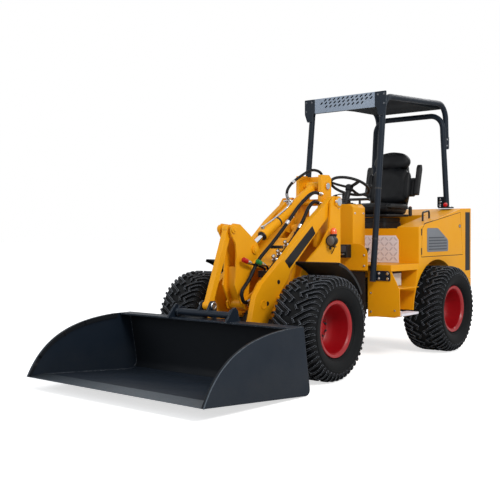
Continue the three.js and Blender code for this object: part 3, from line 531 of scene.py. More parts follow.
def tread_bar(shape, centre, line, width, turn):
    """A raised bar of the tread along a line of (across the wheel, along the tread) points."""
    stations = []
    for k, point in enumerate(line):
        ahead = Vector(line[min(k + 1, len(line) - 1)])
        behind = Vector(line[max(k - 1, 0)])
        along = (ahead - behind).normalized()
        side = Vector((-along.y, along.x))
        corners = []
        for offset, top in ((-0.62, False), (-0.46, True), (0.46, True), (0.62, False)):
            across_wheel, length = Vector(point) + side * width * offset
            radius = lug_top(across_wheel) if top else lug_foot(across_wheel)
            angle = length / TYRE_R + turn
            place = Vector((across_wheel, radius * math.cos(angle), radius * math.sin(angle)))
            corners.append(shape.bm.verts.new(centre + place))
        stations.append(corners)
    for first, second in zip(stations, stations[1:]):
        shape.bridge(first, second)
    shape.bm.faces.new(stations[0][::-1])
    shape.bm.faces.new(stations[-1])


def subdivided(line, steps):
    points = []
    for start, stop in zip(line, line[1:]):
        points += [Vector(start).lerp(Vector(stop), k / steps) for k in range(steps)]
    return points + [Vector(line[-1])]


LONG_BAR = ((0.181, 0.000), (0.150, 0.010), (0.019, 0.092), (0.040, 0.126))
SHORT_BAR = ((0.181, 0.050), (0.150, 0.060), (0.078, 0.105), (0.097, 0.135))


def tyre(name, centre):
    body = "wheel_" + name
    carcass = Shape()
    outer = list(CARCASS) + [(-across_wheel, radius) for across_wheel, radius in reversed(CARCASS)]
    carcass.lathe(centre, (1, 0, 0), outer, 96, closed=True)
    for radius, face in ((0.226, 0.160), (0.300, 0.1845)):
        for sign in (1, -1):
            path = [
                centre + Vector((sign * face, radius * math.cos(a), radius * math.sin(a)))
                for a in (2 * math.pi * k / 72 for k in range(72))]
            carcass.sweep(path, 0.0022, 6, closed=True)
    carcass.finish("carcass_" + name, body, TYRE, "tyre_rubber", angle=40, replaces=("tyre_" + name,))
    tread = Shape()
    for k in range(TREAD_PITCHES):
        for sign in (1, -1):
            turn = 2 * math.pi * (k + (0.5 if sign < 0 else 0)) / TREAD_PITCHES
            for bar in (LONG_BAR, SHORT_BAR):
                line = [Vector((sign * point.x, point.y)) for point in subdivided(bar, 3)]
                tread_bar(tread, centre, line, TREAD_BAR_WIDTH, turn)
    tread.finish("tread_" + name, body, LUG, "tyre_rubber", bevel=0.0018, segments=1, angle=30)


def rim(name, centre, sign):
    body = "wheel_" + name
    disc = Shape().lathe(centre, (sign, 0, 0), RIM_PROFILE, 80)
    disc.finish("rim_disc_" + name, body, RED, "red_paint", angle=28, replaces=("rim_" + name,))
    nuts = Shape()
    for k in range(WHEEL_NUTS):
        angle = 2 * math.pi * (k + 0.5) / WHEEL_NUTS
        face = centre + Vector((sign * -0.006, 0.066 * math.cos(angle), 0.066 * math.sin(angle)))
        nuts.rod(face, face + Vector((sign * 0.005, 0, 0)), 0.0145, sides=20)
        nuts.rod(face, face + Vector((sign * 0.017, 0, 0)), 0.0105, 0.0100, sides=6)
        nuts.rod(face, face + Vector((sign * 0.026, 0, 0)), 0.006, 0.0052, sides=12)
    nuts.finish("wheel_nuts_" + name, body, DARK_STEEL, "red_paint", bevel=0.0008)
    hub = Shape().lathe(centre, (sign, 0, 0), (
        (-0.010, 0.0), (-0.010, 0.046), (0.014, 0.045), (0.019, 0.040), (0.022, 0.020), (0.022, 0.0)), 40)
    hub.finish("hub_cap_" + name, body, RED, "red_paint")
    valve = Shape()
    foot = centre + Vector((sign * 0.062, 0.0, 0.171))
    valve.rod(foot, foot + Vector((sign * 0.012, 0, -0.010)), 0.0075, 0.006)
    valve.rod(foot, foot + Vector((sign * 0.036, 0, -0.016)), 0.0035)
    valve.finish("valve_" + name, body, BLACK_PLASTIC, "tyre_rubber")


for wheel_name, wheel_centre, wheel_sign in WHEELS:
    tyre(wheel_name, wheel_centre)
    rim(wheel_name, wheel_centre, wheel_sign)


# ---------- rear body ----------
HOOD_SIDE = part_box("hood")[1][0]
DOOR_CORNERS = ((0.650, 0.855), (0.667, 1.106), (0.721, 1.150), (1.428, 1.259), (1.483, 0.855))
HOOD_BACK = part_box("hood")[1][1] - PIVOT_Y
DECK_Z = 1.108


def rounded_outline(points, radius, steps=5):
    """A closed outline of 3-D points in one plane, with its corners rounded."""
    points = [Vector(p) for p in points]
    count = len(points)
    outline = []
    for k, corner in enumerate(points):
        before, after = points[k - 1], points[(k + 1) % count]
        start = corner + (before - corner).normalized() * radius
        stop = corner + (after - corner).normalized() * radius
        for step in range(steps + 1):
            t = step / steps
            outline.append(start * (1 - t) ** 2 + corner * 2 * t * (1 - t) + stop * t ** 2)
    return outline


def side_outline(points, x):
    return [at(x, y, z) for y, z in points]


def side_rectangle(front, back, low, high, x):
    return side_outline(((front, low), (back, low), (back, high), (front, high)), x)


def upright_rectangle(start, stop, low, high, y):
    """Corners of a rectangle that faces along the machine, from one x to another."""
    return [at(start, y, low), at(stop, y, low), at(stop, y, high), at(start, y, high)]


def level_rectangle(start, stop, front, back, z):
    return [at(start, front, z), at(stop, front, z), at(stop, back, z), at(start, back, z)]


def bolts(name, body, places, radius, material, slot):
    """Bolts at (place, normal) pairs."""
    shape = Shape()
    for place, normal in places:
        shape.bolt(place, normal, radius)
    return shape.finish(name, body, material, slot, bevel=0.0006, segments=1)


def diamonds(shape, origin, u, v, columns, rows, pitch, size, height):
    """Raised tread pattern: small lens shapes that alternate between two diagonals."""
    origin, u, v = Vector(origin), Vector(u).normalized(), Vector(v).normalized()
    normal = u.cross(v)
    for row in range(rows):
        for column in range(columns):
            centre = origin + u * pitch * (column + 0.5) + v * pitch * (row + 0.5)
            long = (u + v).normalized() if (row + column) % 2 else (u - v).normalized()
            wide = normal.cross(long)
            rim = [
                shape.bm.verts.new(centre + long * math.cos(a) * size + wide * math.sin(a) * size * 0.30)
                for a in (2 * math.pi * k / 10 for k in range(10))]
            top = [
                shape.bm.verts.new(
                    centre + normal * height + long * math.cos(a) * size * 0.72
                    + wide * math.sin(a) * size * 0.15)
                for a in (2 * math.pi * k / 10 for k in range(10))]
            shape.bridge(rim, top)
            shape.bm.faces.new(top)
            shape.bm.faces.new(rim[::-1])


def rear_body():
    refined("hood", YELLOW, 0.004, 3)
    refined("floor_pan", YELLOW, 0.002)
    refined("console", YELLOW, 0.006, 3)
    refined("counterweight", YELLOW, 0.008, 3)
    refined("rear_frame", BLACK_PAINT, 0.002)
    refined("rear_grille", BLACK_PAINT, 0.0015)
    refined("engine", CAST, 0.012, 3)
    refined("rear_axle", CAST, 0.006, 3)
    refined("valve_box", BLACK_PLASTIC, 0.006, 3)
    for side, _ in SIDES:
        refined(f"hood_door_{side}", YELLOW, 0.002)
        refined(f"step_box_{side}", YELLOW, 0.002)
        refined(f"step_{side}", TREADPLATE, 0.003)


def door_fittings(side, sign):
    body = f"hood_door_{side}"
    face = sign * HOOD_SIDE
    latch = Shape()
    slot = rounded_outline(side_rectangle(1.392, 1.434, 1.114, 1.142, face), 0.010)
    latch.prism(slot, (sign * 0.0016, 0, 0))
    latch.finish(f"latch_plate_{side}", body, BLACK_PLASTIC, "black_paint", bevel=0.0006, segments=1)
    paddle = Shape()
    pull = rounded_outline(side_rectangle(1.398, 1.420, 1.120, 1.136, face), 0.005)
    paddle.prism(pull, (sign * 0.0045, 0, 0))
    paddle.finish(f"latch_paddle_{side}", body, STEEL, "black_paint", bevel=0.0012)
    vent = Shape()
    frame_outline = rounded_outline(
        side_outline(((0.751, 0.896), (1.166, 0.896), (1.166, 1.000), (0.960, 1.110), (0.751, 1.110)), face),
        0.022)
    vent.prism(frame_outline, (sign * 0.002, 0, 0))
    vent.finish(f"vent_panel_{side}", body, GREY_PLASTIC, "lamp_plastic", bevel=0.0012)
    slats = Shape()
    for k in range(5):
        z = 0.915 + k * 0.026
        slats.prism(
            side_outline(((0.785, z), (1.130 - max(0, k - 3) * 0.05, z),
                          (1.130 - max(0, k - 3) * 0.05, z + 0.010),
                          (0.785, z + 0.010)), face + sign * 0.002),
            (sign * 0.0035, 0, 0))
    slats.finish(f"vent_slats_{side}", body, DARK_GREY, "lamp_plastic", bevel=0.0012)
    # A dark tube all round the door's gap: painted shade of the gap.
    gap_shade = Shape()
    gap_shade.sweep([at(face - sign * 0.006, *corner) for corner in DOOR_CORNERS], 0.0042, 8, closed=True)
    gap_shade.finish(f"door_gap_shade_{side}", "rear_body", HOSE, "black_paint")
    hinges = Shape()
    for z in (0.905, 1.075):
        hinges.rod(at(face - sign * 0.001, 0.648, z - 0.03), at(face - sign * 0.001, 0.648, z + 0.03), 0.0065)
    hinges.finish(f"door_hinges_{side}", "rear_body", BLACK_PAINT, "black_paint", bevel=0.001)


def hood_details():
    handle = Shape()
    path = rounded_corners(
        (at(0.450, 0.860, 1.150), at(0.450, 0.860, 1.252), at(0.450, 0.985, 1.270), at(0.450, 0.985, 1.180)),
        0.02, 6)
    handle.sweep(path, 0.009, 14)
    for side_name, shape in (("left", handle), ("right", handle.mirror())):
        shape.finish(f"hood_handle_{side_name}", "rear_body", BLACK_PAINT, "black_paint")
    for side_name, sign in SIDES:
        strip = Shape()
        face = sign * (HOOD_SIDE + 0.0002)
        strip.prism(rounded_outline(side_rectangle(1.535, 1.636, 0.70, 1.262, face), 0.006),
                    (sign * 0.0008, 0, 0))
        strip.finish(f"corner_strip_{side_name}", "rear_body", DARK_STRIP, "black_paint")
        lamp = Shape()
        x = sign * 0.4675
        base = upright_rectangle(x - 0.0625, x + 0.0625, 0.45, 0.57, HOOD_BACK + 0.0004)
        lamp.prism(rounded_outline(base, 0.012), (0, 0.018, 0))
        lamp.finish(f"rear_lamp_base_{side_name}", "rear_body", BLACK_PLASTIC, "lamp_plastic", bevel=0.002,
                    replaces=(f"rear_lamp_{side_name}",))
        for z, height, material, name in ((0.456, 0.036, AMBER, "indicator"),
                                          (0.496, 0.068, RED_LENS, "tail")):
            glass = Shape()
            pane = upright_rectangle(x - 0.056, x + 0.056, z, z + height, HOOD_BACK + 0.018)
            glass.prism(rounded_outline(pane, 0.009), (0, 0.021, 0))
            glass.finish(f"{name}_lens_{side_name}", "rear_body", material, "lamp_plastic", bevel=0.004,
                         segments=3)


def tread_plates():
    """Bright checker plate on the front of the seat box and on the steps."""
    plate = Shape()
    front = 0.600
    x = 0.351
    outline = [at(-x, front - 0.0005, 0.802), at(x, front - 0.0005, 0.802), at(x, front - 0.0005, 1.005),
               at(x - 0.03, front - 0.0005, 1.045), at(-x + 0.03, front - 0.0005, 1.045),
               at(-x, front - 0.0005, 1.005)]
    plate.prism(outline, (0, -0.003, 0))
    plate.finish("heel_plate", "rear_body", TREADPLATE, "step_plate", bevel=0.0008)
    pattern = Shape()
    diamonds(pattern, at(-x + 0.018, front - 0.0034, 0.812), (1, 0, 0), (0, 0, 1), 15, 5, 0.0450, 0.0260,
             0.0016)
    pattern.finish("heel_plate_pattern", "rear_body", TREAD_BUTTON, "step_plate")
    for side, _ in SIDES:
        lo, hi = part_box(f"step_{side}")
        pattern = Shape()
        diamonds(pattern, (lo[0] + 0.006, lo[1] + 0.008, hi[2] - 0.0002), (1, 0, 0), (0, 1, 0), 5, 13,
                 0.0212, 0.0105, 0.0016)
        pattern.finish(f"step_pattern_{side}", "rear_body", TREADPLATE, "step_plate")


rear_body()
for side_name, side_sign in SIDES:
    door_fittings(side_name, side_sign)
hood_details()
tread_plates()


# ---------- operator's place ----------
CLOTH_CELL = 0.006
CLOTH_FRAMES = 14
CLOTH_PRESSURE = 3.0
CLOTH_REACH = 0.010


def ring_of(grid):
    """The border of a grid of vertices, in order."""
    return grid[0] + [row[-1] for row in grid[1:-1]] + grid[-1][::-1] + [row[0] for row in grid[-2:0:-1]]


def cushion_form(centre, size, crown, tilt, rounding=0.2, taper=0.0, columns=26, rows=22):
    """A slab that is fuller in its middle, round at its corners and narrower at its far end.

    size is (width, length, thickness), and the cushion's own up is z before it is tilted about x.
    """
    width, length, thick = size
    turn = Matrix.Rotation(tilt, 3, "X")
    bm = bmesh.new()
    grids = ([], [])
    for j in range(rows + 1):
        v = 2 * j / rows - 1
        for grid, sign in zip(grids, (1, -0.35)):
            row = []
            for i in range(columns + 1):
                u = 2 * i / columns - 1
                full = (1 - abs(u) ** 4) * (1 - abs(v) ** 4)
                x = u * width / 2 * math.sqrt(1 - rounding * v * v) * (1 - taper * (1 + v) / 2)
                y = v * length / 2 * math.sqrt(1 - rounding * u * u)
                edge = thick / 2 * (1 - 0.45 * max(abs(u), abs(v)) ** 10)
                height = math.copysign(edge, sign) + crown * sign * full
                row.append(bm.verts.new(Vector(centre) + turn @ Vector((x, y, height))))
            grid.append(row)
    for grid in grids:
        for lower, upper in zip(grid, grid[1:]):
            for i in range(columns):
                bm.faces.new((lower[i], lower[i + 1], upper[i + 1], upper[i]))
    upper_rim, lower_rim = ring_of(grids[0]), ring_of(grids[1])
    for k, vert in enumerate(upper_rim):
        nxt = (k + 1) % len(upper_rim)
        bm.faces.new((vert, lower_rim[k], lower_rim[nxt], upper_rim[nxt]))
    return bm


def filled(piece):
    """Fills a cushion's cover with a short cloth simulation, with its movement capped."""
    remesh = piece.modifiers.new("even", "REMESH")
    remesh.mode = "VOXEL"
    remesh.voxel_size = CLOTH_CELL
    apply_modifiers(piece)
    before = [vert.co.copy() for vert in piece.data.vertices]
    cloth = piece.modifiers.new("cover", "CLOTH")
    cloth.settings.use_pressure = True
    cloth.settings.uniform_pressure_force = CLOTH_PRESSURE
    cloth.settings.effector_weights.gravity = 0
    cloth.point_cache.frame_end = CLOTH_FRAMES
    for step in range(1, CLOTH_FRAMES + 1):
        bpy.context.scene.frame_set(step)
    apply_modifiers(piece)
    bpy.context.scene.frame_set(1)
    for vert, start in zip(piece.data.vertices, before):
        moved = vert.co - start
        if moved.length > CLOTH_REACH:
            vert.co = start + moved.normalized() * CLOTH_REACH
    smooth = piece.modifiers.new("smooth", "CORRECTIVE_SMOOTH")
    smooth.iterations = 6
    smooth.use_only_smooth = True
    apply_modifiers(piece)
    for polygon in piece.data.polygons:
        polygon.use_smooth = True


def pad(name, centre, size, crown, tilt, replaces=(), rounding=0.2, taper=0.0):
    bm = cushion_form(centre, size, crown, tilt, rounding, taper)
    piece = finish_mesh(bm, name, "rear_body", LEATHER, 0, 2, 60, replaces)
    filled(piece)
    piece.data.materials.clear()
    piece.data.materials.append(LEATHER)
    return piece


def piping(name, centre, size, tilt, height):
    """A corded seam round a cushion."""
    width, length, _ = size
    turn = Matrix.Rotation(tilt, 3, "X")
    x, y = width / 2, length / 2
    corners = [Vector((sx * x, sy * y, height)) for sx, sy in ((-1, -1), (1, -1), (1, 1), (-1, 1))]
    path = rounded_outline([Vector(centre) + turn @ corner for corner in corners], 0.05, 8)
    Shape().sweep(path, 0.0035, 8, closed=True).finish(name, "rear_body", PIPING, "seat_cover")


def seat():
    base = at(0, 0.842, 1.281)
    pad("seat_pad", base, (0.440, 0.400, 0.078), 0.014, math.radians(-2), ("seat_cushion",))
    piping("seat_pad_piping", base, (0.456, 0.420, 0.078), math.radians(-2), 0.018)
    for side, sign in SIDES:
        pad(f"seat_bolster_{side}", base + Vector((sign * 0.198, 0.0, 0.026)), (0.064, 0.36, 0.040), 0.010, 0)
    lean = math.radians(90 - 11)
    middle = at(0, 1.062, 1.508)
    pad("back_pad", middle, (0.470, 0.372, 0.078), 0.014, lean, ("seat_back",), 0.34, 0.10)
    for side, sign in SIDES:
        pad(f"back_bolster_{side}", middle + Vector((sign * 0.202, -0.030, 0.0)), (0.062, 0.27, 0.044),
            0.010, lean, (), 0.4, 0.15)
    pad("head_pad", at(0, 1.106, 1.750), (0.400, 0.172, 0.078), 0.014, math.radians(84), (), 0.42, 0.12)
    shell = Shape()
    half = ((0.165, 1.270), (0.190, 1.440), (0.180, 1.580), (0.150, 1.720), (0.118, 1.792))
    edge = list(half) + [(-x, z) for x, z in half[::-1]]
    outline = [at(x, 1.050 + (z - 1.270) * 0.17, z) for x, z in edge]
    shell.prism(rounded_outline(outline, 0.030), (0, 0.030, -0.006))
    shell.finish("back_shell", "rear_body", BLACK_PLASTIC, "seat_cover", bevel=0.006, segments=3)
    pan = Shape()
    pan.prism(rounded_outline(level_rectangle(-0.222, 0.222, 0.645, 1.046, 1.217), 0.05), (0, 0, 0.022))
    pan.finish("seat_pan", "rear_body", BLACK_PLASTIC, "black_paint", bevel=0.004)
    suspension = Shape()
    for z, height, grow in ((0.012, 0.044, 0.008), (0.056, 0.046, 0.003)):
        layer = level_rectangle(-0.150 - grow, 0.150 + grow, 0.700 - grow, 1.000 + grow, DECK_Z + z)
        suspension.prism(rounded_outline(layer, 0.04), (0, 0, height))
    suspension.box(at(-0.165, 0.690, DECK_Z + 0.0005), at(0.165, 1.010, DECK_Z + 0.012))
    suspension.finish("seat_bellows", "rear_body", BLACK_PLASTIC, "black_paint", bevel=0.004,
                      replaces=("seat_base",))
    for side, sign in SIDES:
        arm = Shape()
        outline = ((1.061, 1.427), (1.103, 1.417), (1.168, 1.664), (1.162, 1.706), (1.138, 1.712),
                   (1.115, 1.681))
        arm.prism(rounded_outline(side_outline(outline, sign * 0.250), 0.012, 3), (sign * 0.038, 0, 0))
        arm.finish(f"armrest_pad_{side}", f"armrest_{side}", BLACK_PLASTIC, "black_plastic", bevel=0.012,
                   segments=4, replaces=(f"armrest_{side}",))
        hub = Shape().rod(at(sign * 0.2485, 1.082, 1.440), at(sign * 0.2895, 1.082, 1.440), 0.017)
        hub.finish(f"armrest_hub_{side}", f"armrest_{side}", BLACK_PLASTIC, "black_plastic", bevel=0.003)
        bracket = Shape()
        plate = ((1.035, 1.415), (1.090, 1.405), (1.128, 1.440), (1.142, 1.560), (1.118, 1.592),
                 (1.070, 1.560))
        bracket.prism(rounded_outline(side_outline(plate, sign * 0.180), 0.015, 3), (sign * 0.0655, 0, 0))
        bracket.finish(f"armrest_bracket_{side}", "rear_body", BLACK_PLASTIC, "seat_cover", bevel=0.004)
        buckle = Shape()
        case = side_rectangle(0.985, 1.030, 1.222, 1.310, sign * 0.236)
        buckle.prism(rounded_outline(case, 0.008), (sign * 0.016, 0, 0))
        buckle.finish(f"belt_buckle_{side}", "rear_body", BLACK_PLASTIC, "black_plastic", bevel=0.003)
        button = Shape()
        button.box(at(sign * 0.2385, 0.998, 1.3102), at(sign * 0.2485, 1.018, 1.3150))
        button.finish(f"belt_button_{side}", "rear_body", RED_CAP, "red_paint", bevel=0.001)


def steering():
    tilt = math.radians(25)
    axis = Vector((0, math.sin(tilt), math.cos(tilt)))
    right = Vector((1, 0, 0))
    up = axis.cross(right)
    hub = joint_place("steering_wheel_turn")
    radius = 0.172
    ring = [
        hub + (right * math.cos(a) + up * math.sin(a)) * radius
        for a in (2 * math.pi * k / 64 for k in range(64))]
    wheel = Shape().sweep(ring, 0.0128, 14, closed=True)
    for k in range(3):
        angle = math.radians(90 + 120 * k)
        out = right * math.cos(angle) + up * math.sin(angle)
        side = axis.cross(out)
        start, stop = hub + out * 0.02 - axis * 0.012, hub + out * (radius - 0.004)
        for offset in (-0.009, 0.009):
            wheel.sweep([start + side * offset, start.lerp(stop, 0.6) + side * offset - axis * 0.003,
                         stop + side * offset],
                        0.0075, 10)
    wheel.finish("steering_rim", "steering_wheel", BLACK_PLASTIC, "black_plastic",
                 replaces=("steering_wheel",))
    centre = Shape().lathe(hub, axis, (
        (-0.044, 0.0), (-0.044, 0.030), (-0.016, 0.034), (0.002, 0.034), (0.008, 0.028), (0.010, 0.0)), 36)
    centre.finish("steering_hub", "steering_wheel", BLACK_PLASTIC, "black_plastic")
    knob_foot = hub + (right * math.cos(0.6) + up * math.sin(0.6)) * radius
    knob = Shape().lathe(knob_foot, axis, (
        (0.006, 0.0), (0.006, 0.012), (0.022, 0.009), (0.030, 0.018), (0.044, 0.023), (0.056, 0.019),
        (0.062, 0.0)), 24)
    knob.finish("steering_knob", "steering_wheel", BLACK_PLASTIC, "black_plastic")
    column = Shape()
    column.lathe(hub, axis, (
        (-0.200, 0.0), (-0.200, 0.058), (-0.186, 0.056), (-0.180, 0.047), (-0.168, 0.050), (-0.160, 0.042),
        (-0.148, 0.045), (-0.140, 0.036), (-0.128, 0.038), (-0.118, 0.026), (-0.046, 0.024), (-0.046, 0.0)),
        36)
    column.finish("column_boot", "rear_body", BLACK_PLASTIC, "black_paint", replaces=("steering_column",))
    levers = Shape()
    start = hub - axis * 0.078
    long_lever = (start + right * 0.02, start + right * 0.10 + up * 0.01, start + right * 0.158 + up * 0.03)
    levers.sweep(smooth_path(long_lever), 0.0055, 10)
    levers.rod(start + right * 0.150 + up * 0.028, start + right * 0.192 + up * 0.040, 0.011, 0.009)
    short_lever = (start - right * 0.02, start - right * 0.09, start - right * 0.135 + up * 0.02)
    levers.sweep(smooth_path(short_lever), 0.005, 10)
    levers.rod(start - right * 0.128 + up * 0.018, start - right * 0.168 + up * 0.030, 0.010, 0.008)
    levers.finish("column_levers", "rear_body", BLACK_PLASTIC, "black_plastic", bevel=0.001)


def console_details():
    x = 0.187
    bar = Shape()
    bar.sweep(rounded_corners((at(0.250, 0.272, 1.364), at(-0.160, 0.272, 1.364), at(-0.160, 0.272, 1.318)),
                              0.025, 6), 0.012, 14)
    bar.rod(at(0.150, 0.272, 1.3205), at(0.150, 0.272, 1.364), 0.010, sides=14)
    bar.finish("console_bar", "rear_body", BLACK_PAINT, "black_paint")
    panel = Shape()
    panel.prism(rounded_outline(level_rectangle(-0.130, 0.130, 0.150, 0.245, 1.3202), 0.015), (0, 0, 0.006))
    panel.finish("dash_panel", "rear_body", BLACK_PLASTIC, "black_plastic", bevel=0.002)
    dials = Shape()
    for dx in (-0.085, -0.030, 0.025):
        dials.rod(at(dx, 0.198, 1.326), at(dx, 0.198, 1.332), 0.021, 0.019, 28)
    dials.finish("dash_dials", "rear_body", DARK_GREY, "lamp_plastic", bevel=0.0015)
    switches = Shape()
    for k in range(3):
        switches.box(at(0.062 + k * 0.022, 0.180, 1.326), at(0.076 + k * 0.022, 0.215, 1.333))
    switches.finish("dash_switches", "rear_body", BLACK_PLASTIC, "black_plastic", bevel=0.002)
    pedals = Shape()
    for px, width in ((0.245, 0.062), (-0.255, 0.050)):
        pedals.prism([at(px - width / 2, 0.175, 0.850), at(px + width / 2, 0.175, 0.850),
                      at(px + width / 2, 0.225, 0.935), at(px - width / 2, 0.225, 0.935)], (0, -0.010, 0.006))
        pedals.rod(at(px, 0.200, 0.880), at(px, 0.135, 0.8005), 0.008)
    pedals.finish("pedals", "rear_body", BLACK_PAINT, "black_paint", bevel=0.002)
    stick = Shape()
    stick.box(at(-0.325, 0.640, DECK_Z + 0.0005), at(-0.215, 0.800, DECK_Z + 0.115))
    stick.finish("control_pod", "rear_body", BLACK_PLASTIC, "black_plastic", bevel=0.014, segments=4)
    lever = Shape()
    lever.lathe(at(-0.270, 0.690, DECK_Z + 0.113), (0, -0.1, 1), (
        (0.0, 0.0), (0.0, 0.030), (0.010, 0.026), (0.014, 0.020), (0.024, 0.021), (0.032, 0.010),
        (0.120, 0.008), (0.135, 0.016), (0.170, 0.021), (0.215, 0.019), (0.226, 0.011), (0.228, 0.0)), 24)
    lever.finish("joystick", "rear_body", BLACK_PLASTIC, "black_plastic")
    bolts("console_bolts", "rear_body",
          [(at(sign * (x + 0.0002), y, z), (sign, 0, 0)) for sign in (1, -1) for y in (0.135, 0.270)
           for z in (0.850, 1.240)], 0.0062, STEEL, "yellow_paint")


def toe_board_details():
    lo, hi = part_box("valve_box")
    front = lo[1]
    fittings = Shape()
    for k in range(3):
        x = lo[0] + 0.026 + k * 0.038
        fittings.rod((x, front + 0.004, lo[2] + 0.030), (x, front - 0.020, lo[2] + 0.030), 0.010, sides=6)
        fittings.rod((x, front - 0.018, lo[2] + 0.030), (x, front - 0.034, lo[2] + 0.030), 0.007)
    fittings.finish("valve_fittings", "rear_body", STEEL, "step_plate", bevel=0.0008)
    lid = Shape()
    face = upright_rectangle(
        lo[0] + 0.008, hi[0] - 0.008, lo[2] + 0.050, hi[2] - 0.008, front - 0.0004 - PIVOT_Y)
    lid.prism(rounded_outline(face, 0.008), (0, -0.004, 0))
    lid.finish("valve_cover", "rear_body", DARK_GREY, "black_plastic", bevel=0.0015)
    bolts("toe_board_bolts", "rear_body",
          [(at(x, 0.0968, z), (0, -1, 0)) for x in (-0.300, 0.300) for z in (0.790, 0.880)], 0.007, STEEL,
          "yellow_paint")


def step_well_details():
    for side, sign in SIDES:
        box_shape = Shape()
        lo, hi = at(0.330, 0.330, 0.610), at(0.450, 0.470, 0.725)
        box_shape.box(lo, hi)
        lid = Shape()
        lid.box(at(0.326, 0.325, 0.720), at(0.454, 0.474, 0.733))
        caps = Shape()
        caps.rod(at(0.390, 0.3295, 0.672), at(0.390, 0.312, 0.672), 0.016)
        caps.rod(at(0.430, 0.3295, 0.640), at(0.430, 0.318, 0.640), 0.008, sides=6)
        for shape, name, material in ((box_shape, "fluid_tank", WHITE_PLASTIC),
                                      (lid, "fluid_tank_lid", BLACK_PLASTIC),
                                      (caps, "fluid_tank_caps", STEEL)):
            shape = shape if sign > 0 else shape.mirror()
            shape.finish(f"{name}_{side}", "rear_body", material, "lamp_plastic",
                         bevel=0.006 if "caps" not in name else 0.001, segments=3)
        bolts(f"step_bolts_{side}", "rear_body",
              [(at(sign * x, 0.1578, z), (0, -1, 0))
               for x, z in ((0.330, 0.40), (0.560, 0.42), (0.330, 0.56))],
              0.0062, STEEL, "yellow_paint")


seat()
steering()
console_details()
toe_board_details()
step_well_details()


# ---------- canopy ----------
RAIL_X = 0.369
TUBE_R = 0.026


def canopy():
    for side, sign in SIDES:
        path = rounded_corners((
            at(sign * (RAIL_X + 0.002), 0.119, 0.660), at(sign * RAIL_X, 0.312, 2.246),
            at(sign * RAIL_X, 1.475, 2.306), at(sign * (RAIL_X + 0.010), 1.477, 1.873)), 0.140, 16)
        rail = Shape().sweep(path, TUBE_R, 28)
        rail.finish(f"canopy_tube_{side}", "rear_body", SLATE, "slate_paint", bevel=0.002,
                    replaces=(f"canopy_rail_{side}",))
        foot = Shape()
        front = 0.150
        outline = [at(sign * x, front, z) for x, z in
                   ((0.352, 0.667), (0.521, 0.667), (0.521, 0.725), (0.505, 0.751), (0.352, 0.751))]
        foot.prism(rounded_outline(outline, 0.008, 3), (0, 0.0076, 0))
        foot.finish(f"canopy_foot_{side}", "rear_body", SLATE, "slate_paint", bevel=0.0012)
        bolts(f"canopy_foot_bolts_{side}", "rear_body",
              [(at(sign * x, front, z), (0, -1, 0)) for x in (0.412, 0.496) for z in (0.685, 0.728)],
              0.0085, STEEL, "slate_paint")
        clamps = Shape()
        for z in (1.02, 1.45):
            y = 0.119 + (z - 0.660) / (2.246 - 0.660) * (0.312 - 0.119)
            clamps.rod(at(sign * RAIL_X, y - 0.0005, z - 0.007), at(sign * RAIL_X, y + 0.0015, z + 0.007),
                       TUBE_R + 0.002, sides=28)
        clamps.finish(f"canopy_bands_{side}", "rear_body", BLACK_PAINT, "black_paint", bevel=0.001)
        bracket = Shape()
        for dz in (-0.030, 0.030):
            for dy in (-0.030, 0.030):
                bracket.bolt(at(sign * (RAIL_X + TUBE_R + 0.001), 1.476 + dy * 0.6, 1.935 + dz), (sign, 0, 0),
                             0.006)
        bracket.finish(f"rail_end_bolts_{side}", "rear_body", STEEL, "slate_paint", bevel=0.0006, segments=1)
        plate = Shape()
        outline = side_rectangle(1.447, 1.505, 1.880, 1.990, sign * (RAIL_X + TUBE_R - 0.003))
        plate.prism(rounded_outline(outline, 0.008), (sign * 0.004, 0, 0))
        plate.finish(f"rail_end_plate_{side}", "rear_body", SLATE, "slate_paint", bevel=0.001)


def hoop():
    foot_x, top = 0.414, 2.196
    path = rounded_corners((
        at(foot_x, 1.418, 1.302), at(RAIL_X - 0.006, 1.418, top), at(-RAIL_X + 0.006, 1.418, top),
        at(-foot_x, 1.418, 1.302)), 0.130, 16)
    Shape().sweep(path, TUBE_R, 28).finish(
        "hoop_tube", "rear_body", SLATE, "slate_paint", bevel=0.002, replaces=("rear_hoop",))
    for side, sign in SIDES:
        foot = Shape()
        base = level_rectangle(sign * 0.340, sign * 0.470, 1.373, 1.463, 1.3006)
        foot.prism(rounded_outline(base, 0.012), (0, 0, 0.011))
        foot.prism(upright_rectangle(sign * 0.316, sign * 0.400, 1.3116, 1.412, 1.422), (0, -0.008, 0))
        foot.finish(f"hoop_foot_{side}", "rear_body", SLATE, "slate_paint", bevel=0.0015)
        bolts(f"hoop_foot_bolts_{side}", "rear_body",
              [(at(sign * x, y, 1.3116), (0, 0, 1)) for x in (0.360, 0.456) for y in (1.388, 1.448)],
              0.008, STEEL, "slate_paint")
        bolts(f"hoop_web_bolts_{side}", "rear_body",
              [(at(sign * 0.345, 1.414, z), (0, -1, 0)) for z in (1.332, 1.360, 1.388)], 0.0085, STEEL,
              "slate_paint")
        lamp = Shape()
        lamp.lathe(at(sign * 0.418, 1.396, 1.333), (0, -1, 0),
                   ((0, 0), (0, 0.024), (0.014, 0.024), (0.014, 0)), 28)
        lamp.finish(f"reflector_base_{side}", "rear_body", BLACK_PLASTIC, "lamp_plastic", bevel=0.002)
        glass = Shape()
        glass.lathe(at(sign * 0.418, 1.382, 1.333), (0, -1, 0),
                    ((0, 0), (0, 0.021), (0.007, 0.019), (0.011, 0.0)), 28)
        glass.finish(f"reflector_{side}", "rear_body", RED_LENS, "lamp_plastic")


